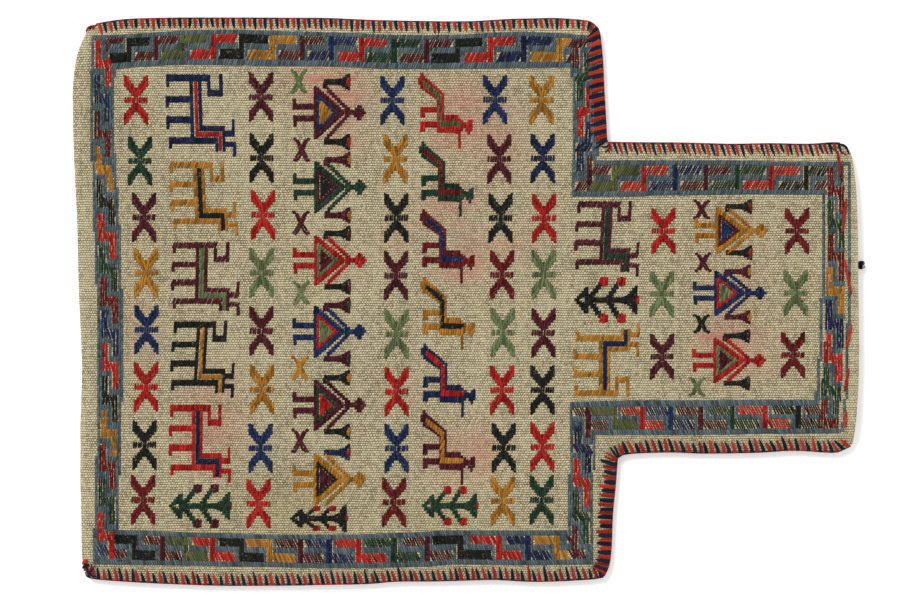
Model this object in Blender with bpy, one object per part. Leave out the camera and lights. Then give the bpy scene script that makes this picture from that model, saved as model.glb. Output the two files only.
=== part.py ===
"""A kilim salt bag: one brocaded wool strip, folded at the body's end and overcast
along both sides, with a neck whose mouth is open. It lies flat on its back.

+X runs from the fold to the mouth, +Y across the bag and +Z up. Lengths are metres.
The motifs are counted-thread charts, drawn in threads of weft float.
"""
import math

import bmesh
import bpy
from mathutils import Vector

# The bag's outline
BODY_LENGTH = 0.3835
NECK_LENGTH = 0.1800
BODY_WIDTH = 0.4030
NECK_WIDTH = 0.2205
NECK_SHIFT = 0.0022
FOLD_LEAN = 0.0052
SHOULDER_LEAN_UPPER = 0.0056
SHOULDER_LEAN_LOWER = 0.0062
MOUTH_BULGE = 0.0036

# The cloth's thickness and how the two layers lie
CLOTH = 0.0026
POCKET_GAP = 0.0060
SEAM_THICKNESS = 0.0044
SEAM_SLOPE = 0.0065
SEAM_ALLOWANCE = 0.0075

# The brocaded border
UPPER_MARGIN = 0.0085
LOWER_MARGIN = 0.0112
FOLD_MARGIN = 0.0130
SHOULDER_MARGIN = 0.0110
MOUTH_MARGIN = 0.0054
WIDE_BORDER = 0.0266
NARROW_BORDER = 0.0190
WIDE_PITCH = 0.0214
NARROW_PITCH = 0.0243

# The brocade
THREAD = 0.00072
BORDER_RELIEF = 0.00035
MOTIF_RELIEF = 0.0006
UNIT_RELIEF = 0.0008

# How much tighter the weft is beaten in the neck
NECK_BEAT = 0.93

# The yarns
STITCH_PITCH = 0.00378
STITCH_LENGTH = 0.0058
OVERCAST_PROUD = 0.0017
RUNNING_YARN = 0.0021
TUFT_WIDTH = 0.0050
GAP = 0.0003

# Worked out from the sizes above
HEIGHT = 2 * CLOTH + POCKET_GAP
MIDDLE = HEIGHT / 2
X_FOLD = -(BODY_LENGTH + NECK_LENGTH) / 2
X_SHOULDER = X_FOLD + BODY_LENGTH
X_MOUTH = X_SHOULDER + NECK_LENGTH
Y_TOP = BODY_WIDTH / 2
Y_NECK_TOP = NECK_SHIFT + NECK_WIDTH / 2
Y_NECK_LOW = NECK_SHIFT - NECK_WIDTH / 2

# How far each side strays outwards, as (share of its length, share of the body's width)
STRAY = {
    "top": ((0.10, 0.0), (0.18, 0.0022), (0.39, 0.0022), (0.48, 0.002), (0.58, -0.0015),
            (0.67, -0.0032), (0.76, -0.0035), (0.83, 0.0002), (0.92, 0.0022)),
    "shoulder_upper": ((0.5, 0.0),),
    "neck_top": ((0.33, 0.0), (0.5, -0.0019), (0.82, -0.0014)),
    "mouth": ((0.14, 0.005), (0.5, 0.009), (0.86, 0.005)),
    "neck_low": ((0.5, 0.0), (0.75, -0.0012)),
    "shoulder_lower": ((0.5, -0.0016),),
    "bottom": ((0.13, 0.0017), (0.20, -0.001), (0.32, 0.0007), (0.40, 0.0014), (0.535, 0.007),
               (0.64, 0.0085), (0.73, 0.0085), (0.81, 0.0064), (0.91, 0.0014)),
    "fold": ((0.05, -0.0028), (0.15, -0.0018), (0.27, -0.0026), (0.37, -0.0068),
             (0.44, -0.0057), (0.59, -0.0023), (0.72, 0.001), (0.86, 0.0034)),
}
SIDES = tuple(STRAY)
# How far each corner's rounding reaches back along the side before it and on along its own side
ROUNDING = {
    "top": (0.049, 0.038), "shoulder_upper": (0.0115, 0.0115), "neck_top": (0.003, 0.003),
    "mouth": (0.013, 0.010), "neck_low": (0.009, 0.0115), "shoulder_lower": (0.004, 0.004),
    "bottom": (0.014, 0.018), "fold": (0.010, 0.010),
}

COLOURS = {
    "ivory_wool": (0.50, 0.42, 0.28), "slate_wool": (0.105, 0.16, 0.20),
    "red_wool": (0.46, 0.022, 0.016), "dark_red_wool": (0.17, 0.012, 0.018),
    "maroon_wool": (0.075, 0.010, 0.018), "gold_wool": (0.50, 0.21, 0.025),
    "navy_wool": (0.014, 0.022, 0.085), "blue_wool": (0.024, 0.045, 0.16),
    "black_wool": (0.014, 0.013, 0.012), "green_wool": (0.018, 0.055, 0.03),
    "light_green_wool": (0.12, 0.18, 0.09), "olive_wool": (0.12, 0.12, 0.045),
    "orange_wool": (0.50, 0.055, 0.02), "dark_navy_wool": (0.010, 0.012, 0.040),
}
NAMES = list(COLOURS)

# Motif charts, in threads: x towards the mouth, y across the bag
STAR = ((-11, 23), (0, 11), (11, 23), (12.5, 14), (3.5, 3), (12.5, 3), (12.5, -3),
        (3.5, -3), (12.5, -14), (11, -23), (0, -10), (-11, -23), (-12.5, -14), (-3.5, -3),
        (-12.5, -3), (-12.5, 3), (-3.5, 3), (-12.5, 14))
GOAT = ((-25, 3), (19, 3), (19, -13), (28, -13), (28, 3), (31, 3), (31, -18), (16, -18),
        (16, -3), (9.5, -3), (9.5, -48), (30, -48), (30, -54), (39, -54), (39, -42),
        (42, -42), (42, -59), (31, -59), (31, -64), (43, -64), (43, -79), (40, -79),
        (40, -69), (31, -69), (31, -74), (22, -74), (22, -65), (-21, -65), (-21, -71),
        (-24, -71), (-24, -60), (0, -60), (0, -45), (-23, -45), (-23, -50), (-26, -50),
        (-26, -39), (0, -39), (0, -24), (-23, -24), (-23, -30), (-26, -30), (-26, -18),
        (0, -18), (0, -3), (-22, -3), (-22, -9), (-25, -9))
BIRD = ((1, 0), (5, -2), (24, -18), (24, -41), (42, -43), (46, -48), (51, -45), (54, -54),
        (51, -62), (46, -56), (41, -60), (39, -75), (37, -60), (16, -59), (16, -54),
        (3, -54), (3, -59), (0, -59), (0, -48), (16, -48), (16, -38), (3, -38), (3, -43),
        (0, -43), (0, -33), (16, -33), (16, -27), (-2, -13))
FIGURE = ((0, 26), (4, 24), (24, 6.5), (10, 20), (13, 25), (33, 5), (38, 2.5), (42, 7),
          (47, 8.5), (52, 0), (47, -8.5), (42, -7), (38, -2.5), (33, -5), (13, -25),
          (10, -20), (24, -6.5), (4, -24), (0, -26), (0, -8.5), (-18, -8.5), (-18, -13),
          (-21, -13), (-21, -3.5), (0, -3.5), (0, 3.5), (-21, 3.5), (-21, 13), (-18, 13),
          (-18, 8.5), (0, 8.5))
HAND = ((0, 2), (18, 2), (27, 8), (27, -8), (18, -2), (0, -2))
CROSS = ((-7.5, 11), (-4, 11), (0, 3), (4, 11), (7.5, 11), (2, 0), (7.5, -11), (4, -11),
         (0, -3), (-4, -11), (-7.5, -11), (-2, 0))
TREE_HALF = ((0, 0), (11, 14), (13, 10), (11, 3), (19, 3), (31, 17), (36, 17), (26, 3),
             (37, 3), (48, 17), (53, 17), (43, 3), (50, 4), (60, 15), (61, 0))
TREE = TREE_HALF + tuple((x, -y) for x, y in reversed(TREE_HALF[1:-1]))


def sides(margin):
    """The eight sides as straight lines, clockwise from the upper one, moved in by margin[side]."""
    lean = FOLD_LEAN / 2
    corners = (
        (X_FOLD - lean, Y_TOP), (X_SHOULDER - SHOULDER_LEAN_UPPER / 2, Y_TOP),
        (X_SHOULDER + SHOULDER_LEAN_UPPER / 2, Y_NECK_TOP), (X_MOUTH - lean, Y_NECK_TOP),
        (X_MOUTH, Y_NECK_LOW), (X_SHOULDER + SHOULDER_LEAN_LOWER, Y_NECK_LOW),
        (X_SHOULDER, -Y_TOP), (X_FOLD + lean, -Y_TOP),
    )
    moved = []
    for i, side in enumerate(SIDES):
        (ax, ay), (bx, by) = corners[i], corners[(i + 1) % 8]
        length = math.hypot(bx - ax, by - ay)
        ux, uy = (bx - ax) / length, (by - ay) / length
        off = margin.get(side, margin["all"])
        moved.append(((ax + uy * off, ay - ux * off), (ux, uy)))
    return moved


def meeting(a, b):
    """Where two lines, each a point and a direction, cross."""
    (ax, ay), (ux, uy) = a
    (bx, by), (vx, vy) = b
    t = ((bx - ax) * vy - (by - ay) * vx) / (ux * vy - uy * vx)
    return ax + ux * t, ay + uy * t


def outline(margin, rounded=True, stray=1.0):
    """The bag's outline moved in by a margin, as a list of points for each corner and side."""
    lines = sides(margin)
    corner = [meeting(lines[i - 1], lines[i]) for i in range(8)]
    runs = []
    for i, side in enumerate(SIDES):
        (ax, ay), (ux, uy) = corner[i], lines[i][1]
        bx, by = corner[(i + 1) % 8]
        length = math.hypot(bx - ax, by - ay)
        back, on = ROUNDING[side] if rounded else (0, 0)
        next_back = ROUNDING[SIDES[(i + 1) % 8]][0] if rounded else 0
        vx, vy = lines[i - 1][1]
        if rounded:
            points = []
            for k in range(5):
                t = k / 4
                a, b, c = (1 - t) ** 2, 2 * t * (1 - t), t * t
                points.append((a * (ax - vx * back) + b * ax + c * (ax + ux * on),
                               a * (ay - vy * back) + b * ay + c * (ay + uy * on)))
            runs.append(points)
        else:
            runs.append([(ax, ay)])
        run = []
        for share, out in STRAY[side]:
            along = share * length
            if on + 0.004 < along < length - next_back - 0.004:
                off = out * BODY_WIDTH * stray
                run.append((ax + ux * along - uy * off, ay + uy * along + ux * off))
        runs.append(run)
    return runs


def joined(runs):
    return [point for run in runs for point in run]


def clear_scene():
    for obj in list(bpy.data.objects):
        bpy.data.objects.remove(obj, do_unlink=True)


def collection(name):
    made = bpy.data.collections.new(name)
    bpy.context.scene.collection.children.link(made)
    return made


def wool(name):
    """One dyed wool, as a Principled material."""
    material = bpy.data.materials.new(name)
    material.use_nodes = True
    shader = material.node_tree.nodes["Principled BSDF"]
    shader.inputs["Base Color"].default_value = (*COLOURS[name], 1)
    shader.inputs["Roughness"].default_value = 0.92
    shader.inputs["Metallic"].default_value = 0.0
    material.diffuse_color = (*COLOURS[name], 1)
    return material


def as_mesh(curve_object, into, whole_caps=False):
    """The curve object made into a welded mesh object of the same name, its caps one face each."""
    graph = bpy.context.evaluated_depsgraph_get()
    mesh = bpy.data.meshes.new_from_object(curve_object.evaluated_get(graph))
    name = curve_object.name
    matrix = curve_object.matrix_world.copy()
    bpy.data.objects.remove(curve_object, do_unlink=True)
    solid = bpy.data.objects.new(name, mesh)
    solid.matrix_world = matrix
    into.objects.link(solid)
    bm = bmesh.new()
    bm.from_mesh(mesh)
    bmesh.ops.remove_doubles(bm, verts=bm.verts, dist=0.000002)
    bmesh.ops.recalc_face_normals(bm, faces=bm.faces)
    if whole_caps:
        flat = [e for e in bm.edges if len(e.link_faces) == 2
                and all(abs(f.normal.z) > 0.99 for f in e.link_faces)]
        bmesh.ops.dissolve_edges(bm, edges=flat, use_verts=False)
    bm.to_mesh(mesh)
    bm.free()
    return solid


def slab(name, loops, low, high, into):
    """A flat outline, or many with a wool each, as a slab from one height to another."""
    curve = bpy.data.curves.new(name, "CURVE")
    curve.dimensions = "2D"
    curve.fill_mode = "BOTH"
    curve.extrude = (high - low) / 2
    for colour in NAMES:
        curve.materials.append(WOOL[colour])
    for points, colour in loops:
        spline = curve.splines.new("POLY")
        spline.points.add(len(points) - 1)
        for place, (x, y) in zip(spline.points, points):
            place.co = (x, y, 0, 1)
        spline.use_cyclic_u = True
        spline.material_index = NAMES.index(colour)
    made = bpy.data.objects.new(name, curve)
    made.location.z = (high + low) / 2
    into.objects.link(made)
    bpy.context.view_layer.update()
    return as_mesh(made, into, whole_caps=len(loops) > 2)


def pillow(name, points, edge, slope, full, into):
    """A slab whose rim slopes: edge thick at the outline and full thick a slope's width in."""
    bm = bmesh.new()
    face = bm.faces.new([bm.verts.new((x, y, MIDDLE - edge / 2)) for x, y in reversed(points)])
    raised = bmesh.ops.extrude_face_region(bm, geom=[face])
    lifted = [v for v in raised["geom"] if isinstance(v, bmesh.types.BMVert)]
    bmesh.ops.translate(bm, verts=lifted, vec=(0, 0, edge))
    bmesh.ops.recalc_face_normals(bm, faces=bm.faces)
    for way in (1, -1):
        caps = [f for f in bm.faces if f.normal.z * way > 0.9]
        bmesh.ops.inset_region(bm, faces=caps, thickness=slope, depth=(full - edge) / 2,
                               use_even_offset=True, use_boundary=True)
    mesh = bpy.data.meshes.new(name)
    mesh.materials.append(WOOL["ivory_wool"])
    bm.to_mesh(mesh)
    bm.free()
    solid = bpy.data.objects.new(name, mesh)
    into.objects.link(solid)
    return solid


def helper(obj):
    obj.hide_render = True
    obj.display_type = "WIRE"
    return obj


def boolean(target, cutter, operation):
    modifier = target.modifiers.new(cutter.name, "BOOLEAN")
    modifier.object = helper(cutter)
    modifier.operation = operation
    modifier.solver = "EXACT"
    modifier.material_mode = "TRANSFER"
    return modifier


def placed(chart, x, y, tall=1):
    """A chart's points at a place on the cloth. A negative tall turns it upside down."""
    return [(x + px * THREAD, y + py * THREAD * tall) for px, py in chart]


def key_unit(wide):
    """One hooked unit of the border: an inner bar, a stem and an outer bar, in threads."""
    if wide:
        return ((0, 8), (28.5, 8), (28.5, 24), (52, 24), (52, 31.6), (24, 31.6), (24, 16.5),
                (0, 16.5))
    return ((0, 5.5), (27, 5.5), (27, 15), (46, 15), (46, 21), (19.5, 21), (19.5, 11), (0, 11))


def border_run(start, direction, outward, length, pitch, wide, first, order):
    """The hooked units along one side. start is the inner line's corner of the run."""
    chart = key_unit(wide)
    scale = (WIDE_BORDER if wide else NARROW_BORDER) / (37.5 if wide else 26.5)
    along = pitch / (29.7 if wide else 33.8)
    reach = max(x for x, _ in chart) * along
    loops = []
    count = 0
    at = first
    while at + reach < length:
        points = []
        for s, t in chart:
            a, b = at + s * along, t * scale
            points.append((start[0] + direction[0] * a + outward[0] * b,
                           start[1] + direction[1] * a + outward[1] * b))
        loops.append((points, order[count % len(order)]))
        count += 1
        at += pitch
    return loops


def overcast(name, path, into):
    """The two overcasting yarns of one side: a pointed stitch on each face, joined on the edge."""
    along = [0.0]
    for a, b in zip(path, path[1:]):
        along.append(along[-1] + math.dist(a, b))
    count = 2 * int(along[-1] / STITCH_PITCH / 2)
    step = along[-1] / count

    def at(s, out):
        s = min(max(s, 0.0), along[-1])
        i = next((k for k in range(1, len(along)) if along[k] >= s), len(along) - 1)
        (ax, ay), (bx, by) = path[i - 1], path[i]
        t = (s - along[i - 1]) / (along[i] - along[i - 1])
        px, py = path[max(i - 2, 0)], path[min(i + 1, len(path) - 1)]
        ux, uy = (bx - ax), (by - ay)
        before = (ax - px[0], ay - px[1]) if px != path[i - 1] else (ux, uy)
        after = (py[0] - bx, py[1] - by) if py != path[i] else (ux, uy)
        if t < 0.5:
            ux, uy = unit(ux, uy)
            vx, vy = unit(*before)
            w = 0.5 - t
        else:
            ux, uy = unit(ux, uy)
            vx, vy = unit(*after)
            w = t - 0.5
        ux, uy = unit(ux * (1 - w) + vx * w, uy * (1 - w) + vy * w)
        return ax + (bx - ax) * t - uy * out, ay + (by - ay) * t + ux * out

    half = SEAM_THICKNESS / 2 + GAP
    lift = (HEIGHT - SEAM_THICKNESS) / 2 * STITCH_LENGTH / SEAM_SLOPE
    bm = bmesh.new()

    def vertex(s, out, z):
        x, y = at(s, out)
        return bm.verts.new((x, y, MIDDLE + z))

    rails = []
    for k in range(count + 1):
        s = k * step
        rails.append((vertex(s, 2 * GAP, half), vertex(s, OVERCAST_PROUD, 0),
                      vertex(s, 2 * GAP, -half)))
    for k in range(count):
        (top, outer, low), (top2, outer2, low2) = rails[k], rails[k + 1]
        index = NAMES.index("dark_navy_wool" if k % 2 else "orange_wool")
        faces = [bm.faces.new((top, top2, low2, low))]
        middle = (k + 0.5) * step
        for way, near, far in ((1, top, top2), (-1, low, low2)):
            ridge = vertex(middle, OVERCAST_PROUD * 1.1, way * (half + GAP))
            height = half + lift + GAP if way > 0 else MIDDLE - GAP / 6
            tip = vertex(middle + 0.25 * step, -STITCH_LENGTH, way * height)
            for loop in ((near, tip, far), (near, ridge, tip), (ridge, far, tip),
                         (near, outer, ridge), (outer, outer2, ridge), (outer2, far, ridge)):
                faces.append(bm.faces.new(loop if way > 0 else tuple(reversed(loop))))
        for face in faces:
            face.material_index = index
    for rail, back in ((rails[0], False), (rails[-1], True)):
        bm.faces.new(tuple(reversed(rail)) if back else rail)
    bmesh.ops.recalc_face_normals(bm, faces=bm.faces)
    mesh = bpy.data.meshes.new(name)
    for colour in NAMES:
        mesh.materials.append(WOOL[colour])
    bm.to_mesh(mesh)
    bm.free()
    made = bpy.data.objects.new(name, mesh)
    into.objects.link(made)
    return made


def unit(x, y):
    length = math.hypot(x, y) or 1.0
    return x / length, y / length


def yarn(name, points, thickness, colour, into):
    """A yarn as a tube along points."""
    curve = bpy.data.curves.new(name, "CURVE")
    curve.dimensions = "3D"
    curve.bevel_depth = thickness / 2
    curve.bevel_resolution = 1
    curve.use_fill_caps = True
    curve.materials.append(WOOL[colour])
    spline = curve.splines.new("POLY")
    spline.points.add(len(points) - 1)
    for place, point in zip(spline.points, points):
        place.co = (*point, 1)
    made = bpy.data.objects.new(name, curve)
    into.objects.link(made)
    bpy.context.view_layer.update()
    return as_mesh(made, into)


clear_scene()
BAG = collection("kilim_salt_bag")
CUTTERS = collection("cutters")
WOOL = {name: wool(name) for name in NAMES}

# The cloth: a pillow, trimmed at the mouth, with the pocket cut out
whole = outline({"all": 0})
beyond = SEAM_SLOPE + 0.006
bag = pillow("woven_bag", joined(outline({"all": 0, "mouth": -beyond})), SEAM_THICKNESS,
             SEAM_SLOPE, HEIGHT, BAG)
trim_outline = joined(outline({"all": -GAP, "mouth": 0}))
trim = slab("trim", [(trim_outline, "ivory_wool")], -0.01, HEIGHT + 0.01, CUTTERS)
boolean(bag, trim, "INTERSECT")
pocket_outline = outline({"all": SEAM_ALLOWANCE, "mouth": -2 * beyond, "fold": SEAM_ALLOWANCE / 2})
pocket = pillow("pocket", joined(pocket_outline), POCKET_GAP / 3, SEAM_SLOPE * 0.8, POCKET_GAP,
                CUTTERS)
boolean(bag, pocket, "DIFFERENCE")

# The border's ground, a raised ring inside the edges
outer_margin = {
    "all": SHOULDER_MARGIN, "top": UPPER_MARGIN, "neck_top": LOWER_MARGIN,
    "mouth": MOUTH_MARGIN, "neck_low": LOWER_MARGIN, "bottom": LOWER_MARGIN,
    "fold": FOLD_MARGIN,
}
width = {side: WIDE_BORDER if side in ("top", "neck_top", "neck_low", "bottom")
         else NARROW_BORDER for side in SIDES}
inner_margin = {"all": 0}
for side in SIDES:
    inner_margin[side] = outer_margin.get(side, SHOULDER_MARGIN) + width[side]
ring_runs = outline(outer_margin, rounded=False, stray=0.6)
corner_x, corner_y = ring_runs[0][0]
cut = SEAM_SLOPE + GAP
ring_runs[0] = [(corner_x, corner_y - cut), (corner_x + cut, corner_y)]
ring_outer = joined(ring_runs)
ring_inner_runs = outline(inner_margin, rounded=False, stray=0.6)
ring = slab("border_ground", [(ring_outer, "slate_wool"), (joined(ring_inner_runs), "slate_wool")],
            HEIGHT - 0.0011, HEIGHT + BORDER_RELIEF, CUTTERS)
boolean(bag, ring, "UNION")

# The hooked units, side by side round the border
CORNER = {side: ring_inner_runs[2 * i][0] for i, side in enumerate(SIDES)}
LONG_ORDER = ("black_wool", "maroon_wool", "olive_wool", "red_wool", "black_wool", "gold_wool",
              "maroon_wool", "blue_wool", "red_wool", "green_wool", "maroon_wool",
              "black_wool", "red_wool", "navy_wool", "gold_wool")
NECK_ORDER = ("olive_wool", "red_wool", "blue_wool", "maroon_wool", "green_wool", "red_wool",
              "black_wool")
FOLD_ORDER = ("green_wool", "dark_red_wool", "gold_wool", "black_wool", "red_wool",
              "blue_wool", "dark_red_wool", "green_wool", "red_wool", "black_wool",
              "gold_wool", "maroon_wool", "blue_wool", "red_wool")
MOUTH_ORDER = ("dark_red_wool", "green_wool", "dark_red_wool", "gold_wool", "navy_wool",
               "red_wool", "green_wool", "dark_red_wool")
SHOULDER_ORDER = ("navy_wool", "red_wool", "green_wool", "maroon_wool")


def span(a, b):
    """The distance and the direction from one inner corner to another."""
    (ax, ay), (bx, by) = CORNER[a], CORNER[b]
    return math.hypot(bx - ax, by - ay), unit(bx - ax, by - ay)


units = []
for side, a, b, outward, pitch, wide, first, order in (
    ("top", "top", "shoulder_upper", (0, 1), WIDE_PITCH, True, 0, LONG_ORDER),
    ("bottom", "fold", "bottom", (0, -1), WIDE_PITCH, True, 0, LONG_ORDER),
    ("neck_top", "neck_top", "mouth", (0, 1), WIDE_PITCH * 1.045, True, 0.15, NECK_ORDER),
    ("neck_low", "shoulder_lower", "neck_low", (0, -1), WIDE_PITCH * 1.045, True, 0.15,
     NECK_ORDER),
    ("fold", "fold", "top", (-1, 0), NARROW_PITCH, False, -0.86, FOLD_ORDER),
    ("mouth", "mouth", "neck_low", (1, 0), NARROW_PITCH * 0.985, False, -0.78, MOUTH_ORDER),
    ("shoulder_upper", "neck_top", "shoulder_upper", (1, 0), NARROW_PITCH, False, 0.66,
     SHOULDER_ORDER),
    ("shoulder_lower", "shoulder_lower", "bottom", (1, 0), NARROW_PITCH, False, 0.66,
     SHOULDER_ORDER),
):
    length, direction = span(a, b)
    into_corner = 0 if wide else 0.9 * WIDE_BORDER
    units += border_run(CORNER[a], direction, outward, length + into_corner, pitch, wide,
                        first * WIDE_BORDER, order)
hooks = slab("border_units", units, HEIGHT - 0.0008, HEIGHT + UNIT_RELIEF, CUTTERS)
boolean(bag, hooks, "UNION")

# The field's motifs
field_left = CORNER["top"][0]
field_right = CORNER["shoulder_upper"][0]
field_top = CORNER["top"][1]
field_low = CORNER["bottom"][1]
field = field_right - field_left
ROWS = 8
row_pitch = (field_top - field_low - 61 * THREAD) / (ROWS - 1)
row_first = field_top - 31 * THREAD
neck_mid = (CORNER["neck_top"][1] + CORNER["neck_low"][1]) / 2
neck_left = field_right + NARROW_BORDER / 2
neck_length = CORNER["mouth"][0] - neck_left
STAR_COLOURS = (
    ("red", "green", "maroon", "gold", "blue", "red", "black", "dark_red"),
    ("maroon", "black", "red", "light_green", "maroon", "gold", "blue", "red"),
    ("blue", "gold", "black", "maroon", "light_green", "red", "blue", "dark_red"),
    ("blue", "maroon", "black", "dark_red", "light_green", "red", "black", "gold"),
    ("gold", "navy", "red", "light_green", "maroon", "black", "red", "green"),
)
STAR_PLACES = (0.053, 0.316, 0.614, 0.849, 0.942)
motifs = []


def add(chart, x, y, colour, tall=1):
    motifs.append((placed(chart, x, y, tall), colour + "_wool"))


for place, colours in zip(STAR_PLACES, STAR_COLOURS):
    for row, colour in enumerate(colours):
        add(STAR, field_left + place * field, row_first - row * row_pitch, colour)
for place, colours in ((0.345, ("red", "green", "maroon")),
                       (0.885, ("dark_red", "green", "dark_red"))):
    for row, colour in enumerate(colours):
        add(STAR, neck_left + place * neck_length, neck_mid + (5 + (1 - row) * 62.4) * THREAD,
            colour, NECK_BEAT)

goat_x = field_left + 0.164 * field
for k, colour in enumerate(("navy", "gold", "maroon", "black", "red")):
    add(GOAT, goat_x, field_top - 9 * THREAD - k * 1.432 * row_pitch, colour)
neck_goat_x = neck_left + 0.076 * neck_length
add(GOAT, neck_goat_x, neck_mid + 95 * THREAD, "maroon", 0.98)
add(GOAT, neck_goat_x, neck_mid - 95 * THREAD, "gold", -0.98)

bird_x = field_left + 0.669 * field
for k, colour in enumerate(("red", "green", "dark_red", "gold", "navy", "maroon")):
    add(BIRD, bird_x, field_top - 5 * THREAD - k * 1.182 * row_pitch, colour)

figure_x = field_left + 0.434 * field
FIGURES = ("maroon", "green", "red", "navy", "maroon", "gold")
CROSSES = ("light_green", "maroon", "maroon", "light_green", "gold", "maroon")
neck_figure_x = neck_left + 0.565 * neck_length
standing = [(figure_x, field_top - (45 + k * 73.3) * row_pitch / 57.4, colour)
            for k, colour in enumerate(FIGURES)]
standing += [(neck_figure_x, neck_mid + y * THREAD, colour)
             for y, colour in ((68, "gold"), (5.7, "navy"), (-61.9, "red"))]
for k, (x, y, colour) in enumerate(standing):
    add(FIGURE, x, y, colour, 1 if k < len(FIGURES) else 0.87)
for k, colour in enumerate(CROSSES):
    y = standing[k][1] + (31 if k == 0 else 36.5) * THREAD
    add(CROSS, figure_x - 14 * THREAD, y, colour)
    add(HAND, figure_x + 11 * THREAD, y - 2 * THREAD, "black" if k % 2 == 0 else "maroon")
for y, colour in ((90, "maroon"), (36, "maroon"), (-26, "black"), (-87, "light_green")):
    add(CROSS, neck_figure_x - 15 * THREAD, neck_mid + y * THREAD, colour, 0.78)
for y, colour in ((92, "black"), (42.5, "black"), (28.5, "maroon"), (-18.5, "maroon"),
                  (-37.5, "black"), (-87.5, "black")):
    add(HAND, neck_figure_x + 14.5 * THREAD, neck_mid + y * THREAD, colour, 0.75)

for x, y, colour, narrow in (
    (field_left + 0.111 * field, field_low + 25 * THREAD, "green", 1),
    (field_left + 0.380 * field, field_low + 13.5 * THREAD, "black", 0.72),
    (field_left + 0.673 * field, field_low + 25 * THREAD, "green", 1),
    (neck_left - 0.035 * neck_length, neck_mid - 2 * THREAD, "black", 1),
):
    add(TREE, x, y, colour, narrow)
charted = slab("brocade", motifs, HEIGHT - 0.0006, HEIGHT + MOTIF_RELIEF, CUTTERS)
boolean(bag, charted, "UNION").use_self = True

# The running stitch in the mouth's hem, and the way that it takes through the cloth
stitch_z = HEIGHT + UNIT_RELIEF + GAP + RUNNING_YARN * 0.55
below_z = HEIGHT - CLOTH - GAP - RUNNING_YARN * 0.5 - 0.0002
DASHES = (((0.025, 0.0148), (0.12, 0.0110)), ((0.186, 0.0090), (0.287, 0.0119)),
          ((0.376, 0.0109), (0.49, 0.0056)), ((0.589, 0.0052), (0.668, 0.0088)),
          ((0.735, 0.0066), (0.81, 0.0097)), ((0.877, 0.0082), (0.927, 0.0088)))
way = []
for (start, start_in), (end, end_in) in DASHES:
    for share, inward, first in ((start, start_in, True), (end, end_in, False)):
        y = Y_NECK_TOP - share * NECK_WIDTH
        x = X_MOUTH - inward
        shift = 0.0012 if first else -0.0012
        pair = [(x, y + shift, below_z), (x, y - shift, stitch_z)]
        way += pair if first else pair[::-1]
way = way[1:-1]
way[-1] = (way[-1][0], way[-1][1], stitch_z)
running = yarn("running_stitch", way, RUNNING_YARN, "orange_wool", BAG)
channel = yarn("stitch_channel", way, RUNNING_YARN + 3 * GAP, "orange_wool", CUTTERS)
boolean(bag, channel, "DIFFERENCE")

# The overcast sides: from the fold's corners along the body, the shoulder and the neck
upper = joined([whole[0][3:], *whole[1:6], whole[6][:1]])
lower = joined([whole[8][-1:], *whole[9:15]])
overcast("overcast_upper", upper, BAG)
overcast("overcast_lower", lower, BAG)

# A loose yarn end that shows at the mouth, lying on the back layer
tuft_y = NECK_SHIFT + 0.112 * NECK_WIDTH
tuft_z = CLOTH + GAP + 0.0010
tuft_x = X_MOUTH + MOUTH_BULGE
tuft = yarn("yarn_end", [(tuft_x - 0.018, tuft_y + 0.003, tuft_z), (tuft_x - 0.006, tuft_y, tuft_z),
                         (tuft_x - 0.0005, tuft_y, tuft_z), (tuft_x + 0.002, tuft_y, tuft_z),
                         (tuft_x + 0.0055, tuft_y, tuft_z)], 0.0018, "dark_navy_wool", BAG)
for v in tuft.data.vertices:
    if tuft_x + 0.001 < v.co.x < tuft_x + 0.003:
        v.co.y = tuft_y + (v.co.y - tuft_y) * TUFT_WIDTH / 0.0018
    elif v.co.x > tuft_x + 0.003:
        v.co.y = tuft_y + (v.co.y - tuft_y) * 0.3

for obj in (running, tuft):
    obj.data.shade_smooth()
    obj.data.set_sharp_from_angle(angle=math.radians(50))

# The frame: everything hangs on an empty that puts the bounding box's centre at the origin
bpy.context.view_layer.update()
graph = bpy.context.evaluated_depsgraph_get()
reach = [obj.evaluated_get(graph).matrix_world @ Vector(corner)
         for obj in BAG.objects for corner in obj.evaluated_get(graph).bound_box]
anchor = bpy.data.objects.new("bag_frame", None)
BAG.objects.link(anchor)
anchor.location.x = -(min(v.x for v in reach) + max(v.x for v in reach)) / 2
anchor.location.y = -(min(v.y for v in reach) + max(v.y for v in reach)) / 2
for obj in (*BAG.objects, *CUTTERS.objects):
    if obj is not anchor:
        obj.parent = anchor
bpy.context.view_layer.update()
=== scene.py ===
# %% [markdown]
# # A kilim salt bag
# The real bag is one strip of wool kilim. It was folded once at the bottom end, and its long
# sides were overcast with two dyed yarns. The neck is narrower than the body and its mouth is
# open. This lesson dresses the packed solids with cloth, brocade and yarn. The bag lies flat on
# its back, so the camera looks straight down on it.

import math

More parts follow.
